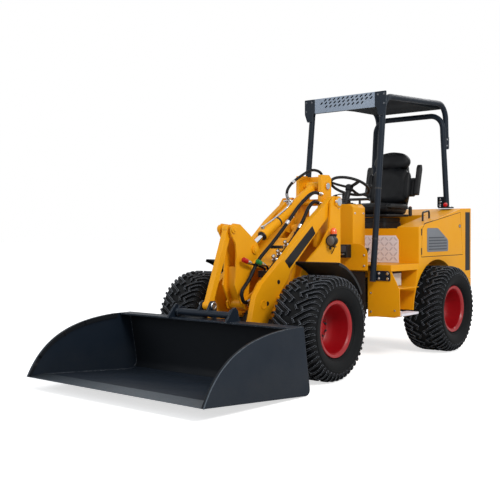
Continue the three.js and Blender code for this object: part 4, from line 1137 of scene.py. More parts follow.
def perforated(name, outline, holes, offset, body, material, replaces=()):
    """A flat plate with holes, pushed along a vector."""
    bm = bmesh.new()
    edges = []
    for loop in [outline] + holes:
        verts = [bm.verts.new(Vector(p)) for p in loop]
        edges += [bm.edges.new((verts[k - 1], verts[k])) for k in range(len(verts))]
    bmesh.ops.triangle_fill(bm, use_beauty=True, use_dissolve=False, edges=edges)
    faces = bm.faces[:]
    grown = bmesh.ops.extrude_face_region(bm, geom=faces)["geom"]
    for vert in [item for item in grown if isinstance(item, bmesh.types.BMVert)]:
        vert.co += Vector(offset)
    return finish_mesh(bm, name, body, material, 0, 1, 30, replaces)


def visor():
    y, thick = 0.255, 0.006

    def slanted_slot(x, z):
        radius, reach, lean = 0.0066, 0.0100, math.radians(36)
        points = []
        for k in range(16):
            a = 2 * math.pi * (k + 0.5) / 16
            along = radius * math.cos(a) + math.copysign(reach, math.cos(a))
            rise = radius * math.sin(a)
            points.append(at(x + along * math.cos(lean) - rise * math.sin(lean), y,
                             z + along * math.sin(lean) + rise * math.cos(lean)))
        return points

    holes = [
        slanted_slot(start + i * 0.047, z)
        for start, z, count in ((-0.200, 2.262, 11), (-0.240, 2.235, 12),
                                (-0.190, 2.203, 9)) for i in range(count)]
    middle = [at(x, y, z) for x, z in ((-0.312, 2.152), (0.312, 2.152), (0.318, 2.281), (-0.318, 2.281))]
    perforated("visor_middle", middle, holes, (0, thick, 0), "rear_body", VISOR_GREY,
               ("visor",))
    # A dark sheet behind the visor, so its holes show painted shade.
    hole_shade = Shape()
    hole_shade.box(at(-0.318, y + thick + 0.014, 2.150), at(0.318, y + thick + 0.017, 2.279))
    hole_shade.finish("visor_hole_shade", "rear_body", BLACK_PAINT, "black_paint")
    for side, sign in SIDES:
        corner = Shape()
        outline = [at(sign * x, y - 0.001, z) for x, z in (
            (0.312, 2.281), (0.425, 2.281), (0.425, 2.150), (0.398, 2.078), (0.348, 2.078), (0.330, 2.150),
            (0.312, 2.158))]
        corner.prism(rounded_outline(outline, 0.008, 3), (0, thick + 0.001, 0))
        corner.finish(f"visor_corner_{side}", "rear_body", SLATE, "slate_paint", bevel=0.0012)
        bolts(f"visor_bolts_{side}", "rear_body",
              [(at(sign * x, y - 0.001, z), (0, -1, 0))
               for x, z in ((0.405, 2.255), (0.405, 2.175), (0.345, 2.255))],
              0.0060, DARK_STEEL, "slate_paint")


canopy()
hoop()
refined("roof_panel", ROOF_PAINT, 0.003, 2)
for side_name, side_sign in SIDES:
    flange = Shape()
    flange.prism(side_outline(((0.270, 2.241), (1.420, 2.2555), (1.420, 2.272), (1.372, 2.290),
                               (0.330, 2.256)),
                              side_sign * 0.3405), (side_sign * 0.0012, 0, 0))
    flange.finish(f"roof_flange_{side_name}", "rear_body", ROOF_PAINT, "slate_paint")
visor()


# ---------- front frame ----------
BOOM_PIN, TILT_BASE_PIN = (-0.240, 1.327), (-0.205, 1.462)
TILT_ROD_PIN, LEVER_PIN, LEVER_TOP_PIN = (-1.083, 0.953), (-1.190, 0.552), (-1.320, 1.110)
LINK_LOW_PIN, BUCKET_PIN = (-1.535, 0.560), (-1.395, 0.215)
LIFT_BASE_PIN, LIFT_ROD_PIN = (-0.620, 0.480), (-0.463, 1.112)


def lathed_arc(shape, centre, start, stop, profile, steps):
    """A closed profile of (x, radius) turned about the x axis from one angle to another, with closed ends."""
    rings = []
    for k in range(steps + 1):
        angle = start + (stop - start) * k / steps
        rings.append([
            shape.bm.verts.new(Vector((x, centre.y + radius * math.cos(angle),
                                       centre.z + radius * math.sin(angle))))
            for x, radius in profile])
    for first, second in zip(rings, rings[1:]):
        shape.bridge(first, second)
    shape.bm.faces.new(rings[0][::-1])
    shape.bm.faces.new(rings[-1])


def fender(side, sign):
    lo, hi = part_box(f"fender_{side}")
    inner, outer = (lo[0], hi[0]) if sign > 0 else (hi[0], lo[0])
    centre = joint_place(f"front_{side}_spin")
    radius = 0.490
    edge, thick = sign * 0.010, 0.005
    profile = (
        (inner, radius - 0.024), (inner, radius - 0.004), (inner + edge * 0.5, radius - 0.0005),
        (inner + edge * 1.4, radius), (outer - edge * 1.4, radius), (outer - edge * 0.5, radius - 0.0005),
        (outer, radius - 0.004), (outer, radius - 0.024), (outer - edge * 0.4, radius - 0.024),
        (outer - edge * 0.4, radius - thick), (inner + edge * 0.4, radius - thick),
        (inner + edge * 0.4, radius - 0.024))
    sheet = Shape()
    lathed_arc(sheet, centre, math.radians(28), math.radians(76), profile, 32)
    sheet.finish(f"fender_sheet_{side}", "front_body", BLACK_PLASTIC, "black_plastic",
                 replaces=(f"fender_{side}",))
    arm = Shape()
    x0 = sign * 0.2624
    arm.sweep(rounded_corners((at(x0, -0.620, 0.706), at(sign * 0.455, -0.620, 0.706),
                               at(sign * 0.455, -0.626, 0.742)),
                              0.022, 6), 0.012, 14)
    arm.box(at(min(x0, x0 + sign * 0.006), -0.655, 0.672), at(max(x0, x0 + sign * 0.006), -0.585, 0.740))
    arm.finish(f"fender_arm_{side}", "front_body", BLACK_PAINT, "black_paint", bevel=0.001)
    places = []
    for x, angle in ((0.44, 46), (0.60, 46), (0.44, 68), (0.60, 68)):
        a = math.radians(angle)
        normal = Vector((0, math.cos(a), math.sin(a)))
        places.append((Vector((sign * x, centre.y, centre.z)) + normal * radius, normal))
    bolts(f"fender_bolts_{side}", "front_body", places, 0.006, BLACK_PLASTIC, "black_plastic")


def work_lamp(side, sign):
    x = sign * 0.312
    bowl = Shape().lathe(at(x, -0.358, 1.012), (0, -1, 0), (
        (0.0, 0.0), (0.0, 0.020), (0.010, 0.033), (0.034, 0.041), (0.056, 0.043), (0.058, 0.045),
        (0.068, 0.045), (0.070, 0.043), (0.070, 0.040), (0.064, 0.038), (0.064, 0.0)), 40)
    bowl.finish(f"work_lamp_{side}", "front_body", BLACK_PLASTIC, "lamp_plastic",
                replaces=(f"headlight_{side}",))
    glass = Shape().lathe(at(x, -0.358, 1.012), (0, -1, 0), (
        (0.060, 0.0), (0.060, 0.0385), (0.066, 0.0385), (0.069, 0.030), (0.0705, 0.0)), 40)
    glass.finish(f"work_lamp_glass_{side}", "front_body", LAMP_GLASS, "lamp_plastic")
    base = Shape().lathe(at(x, -0.382, 1.050), (0, 0, 1), (
        (0.0, 0.0), (0.0, 0.024), (0.006, 0.028), (0.014, 0.028), (0.016, 0.026), (0.016, 0.0)), 32)
    base.finish(f"turn_lamp_base_{side}", "front_body", BLACK_PLASTIC, "lamp_plastic")
    dome = Shape().lathe(at(x, -0.382, 1.066), (0, 0, 1), (
        (0.0, 0.0), (0.0, 0.0255), (0.016, 0.0275), (0.034, 0.024), (0.045, 0.015), (0.051, 0.005),
        (0.052, 0.0)), 32)
    dome.finish(f"turn_lamp_{side}", "front_body", AMBER, "lamp_plastic")
    stalk = Shape()
    lo_x, hi_x = sorted((sign * 0.2624, sign * 0.318))
    stalk.box(at(lo_x, -0.371, 0.958), at(hi_x, -0.349, 0.966))
    lo_x, hi_x = sorted((sign * 0.2624, sign * 0.2684))
    stalk.box(at(lo_x, -0.371, 0.940), at(hi_x, -0.349, 0.966))
    stalk.rod(at(x, -0.372, 0.962), at(x, -0.385, 0.978), 0.008)
    stalk.rod(at(x, -0.345, 1.000), at(x, -0.352, 1.055), 0.006)
    stalk.finish(f"lamp_bracket_{side}", "front_body", BLACK_PAINT, "black_paint", bevel=0.001)
    cable = Shape().sweep(smooth_path((
        at(x, -0.360, 1.000), at(x - sign * 0.012, -0.335, 0.985), at(x - sign * 0.030, -0.335, 0.940),
        at(sign * 0.266, -0.345, 0.905))), 0.0035, 8)
    cable.finish(f"lamp_lead_{side}", "front_body", HOSE, "hose_rubber")


def front_frame():
    refined("front_frame", YELLOW, 0.003, 2)
    refined("front_axle", CAST, 0.006, 3)
    for side, sign in SIDES:
        fender(side, sign)
        work_lamp(side, sign)
        heads = Shape()
        heads.rod(at(sign * 0.2705, *BOOM_PIN), at(sign * 0.2795, *BOOM_PIN), 0.034, 0.032, 36)
        heads.finish(f"boom_pin_head_{side}", "front_body", STEEL, "chrome", bevel=0.002)
        lock = Shape()
        lock.prism(rounded_outline(side_outline(
            ((-0.300, 1.300), (-0.266, 1.300), (-0.246, 1.352), (-0.280, 1.366)), sign * 0.2702), 0.008),
            (sign * 0.005, 0, 0))
        lock.finish(f"boom_pin_lock_{side}", "front_body", YELLOW, "yellow_paint", bevel=0.001)
        places = [(at(sign * 0.2752, -0.286, 1.330), (sign, 0, 0))]
        places += [(at(sign * 0.2622, y, z), (sign, 0, 0)) for y, z in (
            (-0.640, 0.692), (-0.600, 0.720), (-0.560, 0.560), (-0.900, 0.500), (-0.985, 0.500),
            (-0.300, 0.640))]
        bolts(f"tower_bolts_{side}", "front_body", places, 0.0085, STEEL, "yellow_paint")
        grease = Shape()
        for y, z in ((-0.240, 1.272), (-0.395, 0.960), (-0.860, 0.530)):
            grease.rod(at(sign * 0.2622, y, z), at(sign * 0.274, y, z), 0.0045, 0.003, 12)
        grease.finish(f"grease_nipples_{side}", "front_body", STEEL, "chrome")
        tilt_ends = Shape().rod(at(sign * 0.1405, *TILT_BASE_PIN), at(sign * 0.1425, *TILT_BASE_PIN), 0.027,
                                0.026, 28)
        tilt_ends.finish(f"tilt_pin_head_{side}", "front_body", STEEL, "chrome", bevel=0.0006)


# ---------- loader arms ----------
def pin_line(start, stop, distance, offset=0.0):
    length = math.hypot(stop[0] - start[0], stop[1] - start[1])
    dy, dz = (stop[0] - start[0]) / length, (stop[1] - start[1]) / length
    return at(0, start[0] + dy * distance - dz * offset, start[1] + dz * distance + dy * offset)


def boom_details():
    refined("boom", YELLOW, 0.004, 3)
    for side, sign in SIDES:
        face = sign * 0.2362
        sticker = Shape()
        outline = side_outline(((-0.569, 1.132), (-0.931, 0.865), (-0.873, 0.805), (-0.527, 1.071)), face)
        sticker.prism(rounded_outline(outline, 0.006, 3), (sign * 0.0007, 0, 0))
        sticker.finish(f"boom_strip_{side}", "boom", DARK_STRIP, "black_paint")
        # Black discs where the boom's holes are: painted shade of their insides.
        holes = Shape()
        for y, z in ((-1.009, 0.710), (-1.143, 0.558)):
            holes.rod(at(sign * 0.2352, y, z), at(sign * 0.2366, y, z), 0.017, sides=28)
        holes.finish(f"boom_hole_shade_{side}", "boom", BLACK_PAINT, "black_paint")
        rings = Shape()
        for pin, radius in ((BUCKET_PIN, 0.040), (LEVER_PIN, 0.034)):
            rings.lathe(at(sign * 0.2358, *pin), (sign, 0, 0),
                        ((0, 0.0245), (0, radius), (0.004, radius), (0.004, 0.0245)), 32, closed=True)
        rings.finish(f"boom_bosses_{side}", "boom", YELLOW, "yellow_paint", bevel=0.001)
    heads = Shape()
    for sign in (1, -1):
        heads.lathe(at(sign * 0.0526, *LINK_LOW_PIN), (sign, 0, 0), (
            (0.0, 0.0), (0.0, 0.030), (0.007, 0.030), (0.010, 0.027), (0.0102, 0.018), (0.0085, 0.017),
            (0.0085, 0.0)), 40)
    heads.finish("link_pin_heads", "link_pin", STEEL, "chrome", bevel=0.0006, segments=1)
    for name, pin, half, radius in (
            ("bucket_pin", BUCKET_PIN, 0.264, 0.022), ("lever_pin", LEVER_PIN, 0.098, 0.020),
            ("link_pin", LINK_LOW_PIN, 0.060, 0.016)):
        bar = Shape().lathe(at(0, *pin), (1, 0, 0), (
            (-half, 0.0), (-half, radius - 0.003), (-half + 0.003, radius), (half - 0.003, radius),
            (half, radius - 0.003), (half, 0.0)), 36)
        bar.finish(name + "_bar", name, STEEL, "chrome", replaces=(name,))


def cylinder(name, base, rod_pin, radius, barrel_length, rod_radius, eye_half, rod_eye):
    """A hydraulic cylinder: barrel with its base eye and gland, and its polished rod with its eye and collar.
    """
    axis = (pin_line(base, rod_pin, 1) - pin_line(base, rod_pin, 0)).normalized()
    foot = pin_line(base, rod_pin, 0)
    barrel = Shape()
    barrel.lathe(foot, axis, (
        (0.028, 0.0), (0.028, radius * 0.80), (0.048, radius * 0.93), (0.062, radius),
        (0.066, radius + 0.002), (0.072, radius + 0.002), (0.076, radius), (barrel_length - 0.040, radius),
        (barrel_length - 0.038, radius + 0.003), (barrel_length - 0.002, radius + 0.003),
        (barrel_length, radius + 0.001), (barrel_length, rod_radius + 0.002),
        (barrel_length - 0.02, rod_radius + 0.002), (barrel_length - 0.02, 0.0)), 40)
    barrel.lathe(foot, (1, 0, 0), (
        (-eye_half, 0.022), (-eye_half, radius - 0.005), (-eye_half + 0.003, radius - 0.002),
        (eye_half - 0.003, radius - 0.002), (eye_half, radius - 0.005), (eye_half, 0.022)), 40, closed=True)
    barrel.finish(f"{name}_barrel_tube", f"{name}_barrel", YELLOW, "yellow_paint", bevel=0.0008, segments=1,
                  replaces=(f"{name}_barrel",))
    gland = Shape().lathe(foot, axis, (
        (barrel_length - 0.002, rod_radius + 0.0006), (barrel_length - 0.002, radius - 0.004),
        (barrel_length + 0.005, radius - 0.006), (barrel_length + 0.007, radius - 0.010),
        (barrel_length + 0.007, rod_radius + 0.0006)), 40, closed=True)
    gland.finish(f"{name}_gland", f"{name}_barrel", BLACK_PAINT, "black_paint")
    reach = math.hypot(rod_pin[0] - base[0], rod_pin[1] - base[1])
    shaft = Shape().rod(foot + axis * (barrel_length - 0.15), foot + axis * (reach - 0.02), rod_radius,
                        sides=40)
    shaft.finish(f"{name}_rod_shaft", f"{name}_rod", CHROME, "chrome", replaces=(f"{name}_rod",))
    eye = Shape().lathe(at(0, *rod_pin), (1, 0, 0), (
        (-rod_eye[1], 0.0), (-rod_eye[1], rod_eye[0] - 0.003), (-rod_eye[1] + 0.003, rod_eye[0]),
        (rod_eye[1] - 0.003, rod_eye[0]), (rod_eye[1], rod_eye[0] - 0.003), (rod_eye[1], 0.0)), 40)
    collar = foot + axis * (reach - 0.050)
    eye.lathe(collar, axis,
              ((0, 0.0), (0, rod_radius + 0.004), (0.008, rod_radius + 0.008), (0.034, rod_radius + 0.009),
                             (0.034, 0.0)), 32)
    eye.finish(f"{name}_rod_eye", f"{name}_rod", YELLOW, "yellow_paint", bevel=0.0008, segments=1)


def hex_fitting(shape, start, direction, radius, length):
    """A hose end: hexagon nut, then a crimped sleeve."""
    start, direction = Vector(start), Vector(direction).normalized()
    shape.rod(start, start + direction * length * 0.35, radius * 1.25, sides=6)
    shape.rod(start + direction * length * 0.35, start + direction * length * 0.42, radius * 0.8, sides=16)
    shape.rod(start + direction * length * 0.42, start + direction * length, radius * 1.08, radius * 1.02, 20)


FERRULE_SHARE = 0.41
UPPER_HOSE = (
    (0.162, -0.330, 1.388), (0.162, -0.430, 1.400), (0.161, -0.520, 1.368), (0.154, -0.640, 1.284),
    (0.128, -0.736, 1.170), (0.112, -0.905, 1.015), (0.112, -1.090, 0.877), (0.112, -1.205, 0.735),
    (0.112, -1.288, 0.650), (0.112, -1.266, 0.572), (0.112, -1.180, 0.578))
LOWER_HOSE = (
    (0.165, -0.330, 1.305), (0.165, -0.440, 1.325), (0.165, -0.520, 1.275), (0.160, -0.597, 1.166),
    (0.150, -0.721, 1.020), (0.150, -0.930, 0.860), (0.150, -1.011, 0.790), (0.150, -1.092, 0.720),
    (0.150, -1.150, 0.655))
TILT_HOSE = (
    (0, -0.572, 1.344), (0, -0.588, 1.385), (0, -0.576, 1.428), (0, -0.525, 1.475), (0, -0.441, 1.521),
    (0, -0.288, 1.587), (0, -0.193, 1.601), (0, -0.110, 1.583), (0, -0.066, 1.530))


def hoses():
    for name, points, radius, body in (
            ("boom_hose_upper", UPPER_HOSE, 0.0140, "boom"), ("boom_hose_lower", LOWER_HOSE, 0.0140, "boom"),
            ("tilt_hose", TILT_HOSE, 0.0115, "tilt_barrel")):
        path = smooth_path([at(*point) for point in points], 10)
        Shape().sweep(path, radius, 16).finish(name + "_line", body, HOSE, "hose_rubber", replaces=(name,))
        sleeves = Shape()
        for k in (0, len(path) - 1):
            inward = path[3] - path[0] if k == 0 else path[-4] - path[-1]
            hex_fitting(sleeves, path[k], inward, radius, 0.055)
        k = int(len(path) * FERRULE_SHARE)
        direction = (path[k + 1] - path[k]).normalized()
        sleeves.rod(path[k] - direction * 0.018, path[k] + direction * 0.018, radius * 1.22, sides=20)
        sleeves.finish(name + "_sleeves", body, STEEL, "chrome", bevel=0.0006, segments=1)
    foot, top = (pin_line(TILT_BASE_PIN, TILT_ROD_PIN, 0.377, -offset) for offset in (0.0425, 0.092))
    port = Shape().rod(foot, foot.lerp(top, 0.35), 0.022, sides=24)
    port.rod(foot.lerp(top, 0.35), foot.lerp(top, 0.75), 0.019, sides=6)
    port.rod(foot.lerp(top, 0.7), top, 0.013, sides=16)
    for sign in (1, -1):
        middle = foot.lerp(top, 0.55)
        port.rod(middle, middle + Vector((sign * 0.034, 0, 0)), 0.010, sides=6)
        port.rod(middle + Vector((sign * 0.034, 0, 0)), middle + Vector((sign * 0.048, 0, 0)), 0.007,
                 sides=14)
    port.finish("tilt_port_fittings", "tilt_barrel", STEEL, "chrome", bevel=0.0008)
    feed = Shape()
    start = pin_line(TILT_BASE_PIN, TILT_ROD_PIN, 0.377, -0.070) + Vector((0.046, 0, 0))
    end = pin_line(TILT_BASE_PIN, TILT_ROD_PIN, 0.770, -0.056)
    feed.sweep(smooth_path((
        start, start + Vector((0.012, -0.03, -0.004)),
        pin_line(TILT_BASE_PIN, TILT_ROD_PIN, 0.47, -0.052) + Vector((0.030, 0, 0)),
        pin_line(TILT_BASE_PIN, TILT_ROD_PIN, 0.62, -0.052) + Vector((0.020, 0, 0)),
        pin_line(TILT_BASE_PIN, TILT_ROD_PIN, 0.73, -0.056) + Vector((0.006, 0, 0)), end)), 0.006, 12)
    feed.rod(pin_line(TILT_BASE_PIN, TILT_ROD_PIN, 0.775, -0.036),
             pin_line(TILT_BASE_PIN, TILT_ROD_PIN, 0.775, -0.066), 0.014, sides=20)
    feed.finish("tilt_feed_pipe", "tilt_barrel", STEEL, "chrome")
    strap = Shape()
    strap.lathe(pin_line(TILT_BASE_PIN, TILT_ROD_PIN, 0.585),
                pin_line(TILT_BASE_PIN, TILT_ROD_PIN, 1) - pin_line(TILT_BASE_PIN, TILT_ROD_PIN, 0),
                ((0, 0.0424), (0, 0.0445), (0.016, 0.0445), (0.016, 0.0424)), 36, closed=True)
    strap.finish("tilt_strap", "tilt_barrel", BLACK_PAINT, "black_paint")


def couplers():
    """Quick couplers and valve fittings between the boom arms."""
    block = Shape()
    block.box(at(0.066, -1.045, 0.742), at(0.180, -0.985, 0.792))
    block.finish("coupler_block", "boom", BLACK_PAINT, "black_paint", bevel=0.004)
    body = Shape()
    caps = {"red": Shape(), "green": Shape()}
    pipes = Shape()
    for color, x, y, z in (("red", 0.104, -1.200, 0.862), ("green", 0.142, -1.085, 0.846)):
        start = at(x, y, z)
        way = Vector((0, -0.94, 0.34))
        pipes.sweep(smooth_path((at(x, -1.015, 0.788), at(x, -1.020, 0.812), start - way * 0.050,
                                 start - way * 0.020)),
                    0.008, 12)
        body.rod(start - way * 0.030, start - way * 0.008, 0.0145, sides=6)
        body.rod(start - way * 0.008, start + way * 0.024, 0.0165, sides=28)
        caps[color].rod(start + way * 0.024, start + way * 0.066, 0.0195, 0.0180, 28)
        caps[color].rod(start + way * 0.066, start + way * 0.074, 0.0125, 0.0110, 20)
    pipes.finish("coupler_pipes", "boom", HOSE, "hose_rubber")
    body.finish("quick_couplers", "boom", STEEL, "chrome", bevel=0.001)
    caps["red"].finish("coupler_cap_red", "boom", RED_CAP, "red_paint", bevel=0.002)
    caps["green"].finish("coupler_cap_green", "boom", GREEN_CAP, "black_plastic", bevel=0.002)
    valve = Shape()
    for y, z in ((-0.800, 0.978), (-0.890, 0.912), (-0.945, 0.872)):
        valve.rod(at(0.138, y, z), at(0.188, y, z), 0.019, sides=6)
        valve.rod(at(0.160, y, z), at(0.160, y - 0.030, z + 0.036), 0.014, sides=16)
        valve.rod(at(0.160, y - 0.028, z + 0.034), at(0.160, y - 0.040, z + 0.022), 0.011, sides=6)
    valve.finish("line_fittings", "boom", STEEL, "chrome", bevel=0.001)
    clamps = Shape()
    for y, z, x in ((-0.905, 0.978, 0.112), (-0.660, 1.080, 0.155)):
        clamps.box(at(x - 0.022, y - 0.016, z - 0.020),
                   at(x + 0.080 if x < 0.15 else x + 0.034, y + 0.016, z + 0.004))
    clamps.finish("hose_clamps", "boom", BLACK_PAINT, "black_paint", bevel=0.003)


def linkage():
    refined("tilt_lever", YELLOW, 0.003, 3)
    refined("tilt_link", YELLOW, 0.005, 3)
    refined("coupler", SLATE, 0.003, 2)
    heads = Shape()
    for pin in (TILT_ROD_PIN, LEVER_TOP_PIN):
        for sign in (1, -1):
            heads.rod(at(sign * 0.0742, *pin), at(sign * 0.080, *pin), 0.020, 0.018, 32)
    heads.finish("lever_pin_heads", "tilt_lever", YELLOW, "yellow_paint", bevel=0.0015)
    ends = Shape()
    for sign in (1, -1):
        ends.lathe(at(sign * 0.0522, *LINK_LOW_PIN), (sign, 0, 0),
                   ((0, 0.0165), (0, 0.030), (0.005, 0.030), (0.005, 0.0165)), 32, closed=True)
    ends.finish("link_pin_collars", "bucket", STEEL, "chrome", bevel=0.001)


# ---------- bucket ----------
def bezier(a, b, c, d, steps):
    points = []
    for k in range(steps + 1):
        t = k / steps
        points.append([
            (1 - t) ** 3 * a[i] + 3 * (1 - t) ** 2 * t * b[i] + 3 * (1 - t) * t * t * c[i] + t ** 3 * d[i]
            for i in (0, 1)])
    return points


def bucket():
    half, cheek = 0.840, 0.014
    lip_y, lip_z = -2.491, 0.089
    top = 0.467
    arc = bezier((lip_y, lip_z), (lip_y + 0.120, 0.320), (-2.160, top - 0.014), (-1.675, top), 48)
    heel = [
        [-1.459 * (1 - t) ** 2 - 1.453 * 2 * t * (1 - t) - 1.513 * t * t,
         0.052 * (1 - t) ** 2 + 0.002 * 2 * t * (1 - t) + 0.006 * t * t]
        for t in (k / 12 for k in range(13))]
    outline = arc + [[-1.525, top]] + heel
    for side, sign in SIDES:
        plate = Shape()
        plate.prism(side_outline(outline, sign * (half - cheek)), (sign * cheek, 0, 0))
        plate.finish(f"bucket_cheek_{side}", "bucket", SLATE, "slate_paint", bevel=0.0022, segments=2,
                     angle=40, replaces=("bucket",) if sign > 0 else ())
        # A band on the inside of each cheek along its top edge, in the painted-shade colour.
        rim = Shape()
        inner = bezier((lip_y + 0.030, lip_z + 0.010), (lip_y + 0.140, 0.290), (-2.155, top - 0.046),
                       (-1.675, top - 0.034), 48)
        for first, second in zip(range(48), range(1, 49)):
            quad = [arc[first], arc[second], inner[second], inner[first]]
            rim.prism(side_outline(quad, sign * (half - cheek)), (-sign * 0.010, 0, 0))
        rim.finish(f"bucket_cheek_inner_shade_{side}", "bucket", BUCKET_SHADE, "slate_paint")
        edge_tint = Shape()
        edge_tint.sweep([at(sign * (half - 0.004), y, z - 0.002) for y, z in arc], 0.0034, 8)
        edge_tint.finish(f"bucket_cheek_edge_{side}", "bucket", BLADE, "slate_paint")
    floor = [(-2.380, 0.080), (-1.560, 0.009), (-1.513, 0.005), (-1.486, 0.007), (-1.468, 0.018),
             (-1.459, 0.036), (-1.457, 0.056), (-1.525, top), (-1.640, top), (-1.640, top - 0.012),
             (-1.536, top - 0.012), (-1.470, 0.090), (-1.476, 0.058), (-1.494, 0.034), (-1.530, 0.022),
             (-1.560, 0.020), (-2.380, 0.091)]
    shell = Shape()
    shell.prism(side_outline(floor, -half + cheek - 0.001), (2 * (half - cheek) + 0.002, 0, 0))
    shell.finish("bucket_shell", "bucket", SLATE, "slate_paint", bevel=0.001, segments=1, angle=50)
    # A thin dark sheet over the inside of the back wall: painted shade, in the painted-shade colour.
    back_shade = Shape()
    back = [(-1.640, top - 0.013), (-1.537, top - 0.013), (-1.4715, 0.092), (-1.4775, 0.059),
            (-1.495, 0.0355)]
    hollow = [(y - 0.0012, z) for y, z in back]
    back_shade.prism(side_outline(back + hollow[::-1], -half + cheek + 0.0005),
                 (2 * (half - cheek) - 0.001, 0, 0))
    back_shade.finish("bucket_back_shade", "bucket", BUCKET_SHADE, "slate_paint")
    blade = Shape()
    blade.prism(side_outline(((lip_y + 0.004, lip_z - 0.002), (-2.340, 0.076), (-2.340, 0.096),
                              (lip_y + 0.004, lip_z + 0.002)),
                             -half + cheek - 0.001), (2 * (half - cheek) + 0.002, 0, 0))
    blade.finish("cutting_edge", "bucket", BLADE, "slate_paint", bevel=0.0008, segments=1)
    hooks = Shape()
    for sign in (1, -1):
        hook = ((-1.530, 0.458), (-1.672, 0.462), (-1.662, 0.476), (-1.592, 0.558), (-1.568, 0.566),
                (-1.540, 0.540))
        hooks.prism(rounded_outline(side_outline(hook, sign * 0.272), 0.010, 3), (sign * 0.016, 0, 0))
    hooks.finish("bucket_hooks", "bucket", SLATE, "slate_paint", bevel=0.002)
    ribs = Shape()
    for x in (-0.52, 0.52):
        ribs.prism(side_outline(((-1.5235, 0.455), (-1.4575, 0.060), (-1.4520, 0.120), (-1.505, 0.455)),
                                x - 0.006),
                   (0.012, 0, 0))
    ribs.finish("bucket_ribs", "bucket", SLATE, "slate_paint", bevel=0.001)
    welds = Shape()
    for sign in (1, -1):
        x = sign * (half - cheek - 0.001)
        path = [
            at(x, y, z + 0.001) for y, z in (
                (-2.370, 0.090), (-1.560, 0.020), (-1.530, 0.022), (-1.494, 0.034), (-1.476, 0.058),
                (-1.470, 0.090), (-1.536, top - 0.014))]
        welds.sweep(path, 0.005, 8)
    welds.finish("bucket_welds", "bucket", SLATE, "slate_paint")


# ---------- steering cylinder ----------
def steering_cylinder():
    base, rod_end = at(-0.235, 0.560, 0.505), at(-0.215, -0.060, 0.505)
    axis = (rod_end - base).normalized()
    tube = Shape().lathe(base, axis, (
        (0.022, 0.0), (0.022, 0.022), (0.040, 0.026), (0.345, 0.026), (0.348, 0.030), (0.378, 0.030),
        (0.380, 0.027), (0.380, 0.0145), (0.360, 0.0145), (0.360, 0.0)), 32)
    tube.lathe(base - Vector((0, 0, 0.026)), (0, 0, 1),
               ((0, 0.0148), (0, 0.028), (0.052, 0.028), (0.052, 0.0148)), 32, closed=True)
    tube.finish("steering_barrel_tube", "steering_barrel", BLACK_PAINT, "black_paint",
                replaces=("steering_barrel",))
    shaft = Shape().rod(base + axis * 0.21, rod_end - axis * 0.015, 0.013, sides=28)
    shaft.finish("steering_shaft", "steering_rod", CHROME, "chrome", replaces=("steering_rod",))
    eye = Shape().lathe(rod_end - Vector((0, 0, 0.028)), (0, 0, 1), (
        (0, 0.0), (0, 0.024), (0.003, 0.026), (0.053, 0.026), (0.056, 0.024), (0.056, 0.0)), 32)
    eye.finish("steering_eye", "steering_rod", BLACK_PAINT, "black_paint")


front_frame()
boom_details()
cylinder("lift", LIFT_BASE_PIN, LIFT_ROD_PIN, 0.044, 0.590, 0.022, 0.046, (0.034, 0.036))
cylinder("tilt", TILT_BASE_PIN, TILT_ROD_PIN, 0.042, 0.812, 0.020, 0.060, (0.034, 0.040))
hoses()
couplers()
linkage()
bucket()
steering_cylinder()


# ---------- stage ----------
FLOOR_GLOW = 0.66
SKY_LIGHT = 0.50
CAMERA_PLACE = (3.984, -5.491, 1.105)
CAMERA_TURN = (39.53, 1.43, -0.29)
CAMERA_LENS = 59.1


def stage():
    mesh = bpy.data.meshes.new("floor")
    bm = bmesh.new()
    bmesh.ops.create_grid(bm, x_segments=1, y_segments=1, size=60)
    bm.to_mesh(mesh)
    bm.free()
    floor = bpy.data.objects.new("floor", mesh)
    bpy.context.scene.collection.objects.link(floor)
    material = bpy.data.materials.new("pale_floor")
    material.use_nodes = True
    nodes, links = material.node_tree.nodes, material.node_tree.links
    shader = nodes["Principled BSDF"]
    shader.inputs["Base Color"].default_value = (0.80, 0.80, 0.80, 1)
    shader.inputs["Roughness"].default_value = 0.9
    shader.inputs["Specular IOR Level"].default_value = 0.1
    shader.inputs["Emission Color"].default_value = (1, 1, 1, 1)
    path = nodes.new("ShaderNodeLightPath")
    seen = nodes.new("ShaderNodeMath")
    seen.operation = "MULTIPLY"
    seen.inputs[1].default_value = FLOOR_GLOW
    links.new(path.outputs["Is Camera Ray"], seen.inputs[0])
    links.new(seen.outputs["Value"], shader.inputs["Emission Strength"])
    mesh.materials.append(material)


def area_light(name, place, target, size, power, color=(1, 1, 1)):
    light = bpy.data.lights.new(name, "AREA")
    light.shape = "DISK"
    light.size = size
    light.energy = power
    light.color = color
    lamp = bpy.data.objects.new(name, light)
    lamp.location = place
    lamp.rotation_euler = (Vector(target) - Vector(place)).to_track_quat("-Z", "Y").to_euler()
    bpy.context.scene.collection.objects.link(lamp)


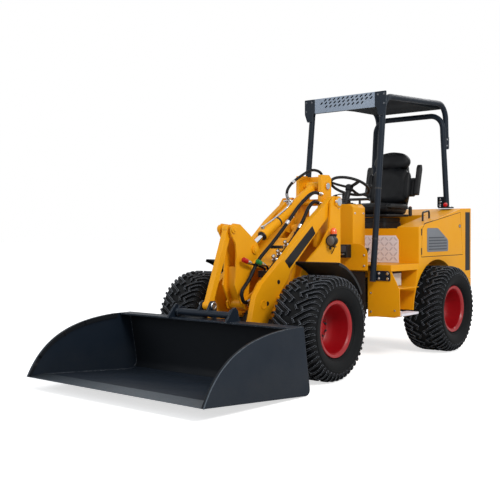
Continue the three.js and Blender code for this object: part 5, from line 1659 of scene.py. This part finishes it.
def world():
    sky = bpy.data.worlds.new("studio")
    sky.use_nodes = True
    nodes, links = sky.node_tree.nodes, sky.node_tree.links
    nodes.clear()
    path = nodes.new("ShaderNodeLightPath")
    seen = nodes.new("ShaderNodeMath")
    seen.operation = "MAXIMUM"
    clear = nodes.new("ShaderNodeMath")
    clear.operation = "MAXIMUM"
    links.new(path.outputs["Is Glossy Ray"], clear.inputs[0])
    links.new(path.outputs["Is Transmission Ray"], clear.inputs[1])
    links.new(path.outputs["Is Camera Ray"], seen.inputs[0])
    links.new(clear.outputs["Value"], seen.inputs[1])
    white = nodes.new("ShaderNodeBackground")
    white.inputs["Color"].default_value = (1, 1, 1, 1)
    white.inputs["Strength"].default_value = 1.0
    soft = nodes.new("ShaderNodeBackground")
    soft.inputs["Color"].default_value = (0.95, 0.97, 1.0, 1)
    soft.inputs["Strength"].default_value = SKY_LIGHT
    mix = nodes.new("ShaderNodeMixShader")
    links.new(seen.outputs["Value"], mix.inputs["Fac"])
    links.new(soft.outputs["Background"], mix.inputs[1])
    links.new(white.outputs["Background"], mix.inputs[2])
    output = nodes.new("ShaderNodeOutputWorld")
    links.new(mix.outputs["Shader"], output.inputs["Surface"])
    bpy.context.scene.world = sky


def camera():
    heading, pitch, roll = (math.radians(angle) for angle in CAMERA_TURN)
    forward = Vector((-math.sin(heading) * math.cos(pitch), math.cos(heading) * math.cos(pitch),
                      -math.sin(pitch)))
    right = Vector((math.cos(heading), math.sin(heading), 0))
    up = right.cross(forward)
    right, up = (
        right * math.cos(roll) + up * math.sin(roll), up * math.cos(roll) - right * math.sin(roll))
    data = bpy.data.cameras.new("camera")
    data.lens = CAMERA_LENS
    data.sensor_width = 36
    eye = bpy.data.objects.new("camera", data)
    turn = Matrix((right, up, -forward)).transposed().to_4x4()
    eye.matrix_world = Matrix.Translation(CAMERA_PLACE) @ turn
    bpy.context.scene.collection.objects.link(eye)
    bpy.context.scene.camera = eye


stage()
area_light("key", (6.5, -3.2, 6.0), (0, 0, 0.8), 2.6, 430, (1.0, 0.985, 0.96))
area_light("fill", (-3.5, -7.5, 3.5), (0, 0, 0.8), 5.0, 120, (0.95, 0.97, 1.0))
area_light("back", (0.5, 7.0, 5.5), (0, 0, 1.0), 4.0, 190)
world()
camera()
bpy.context.scene.view_settings.view_transform = "Standard"
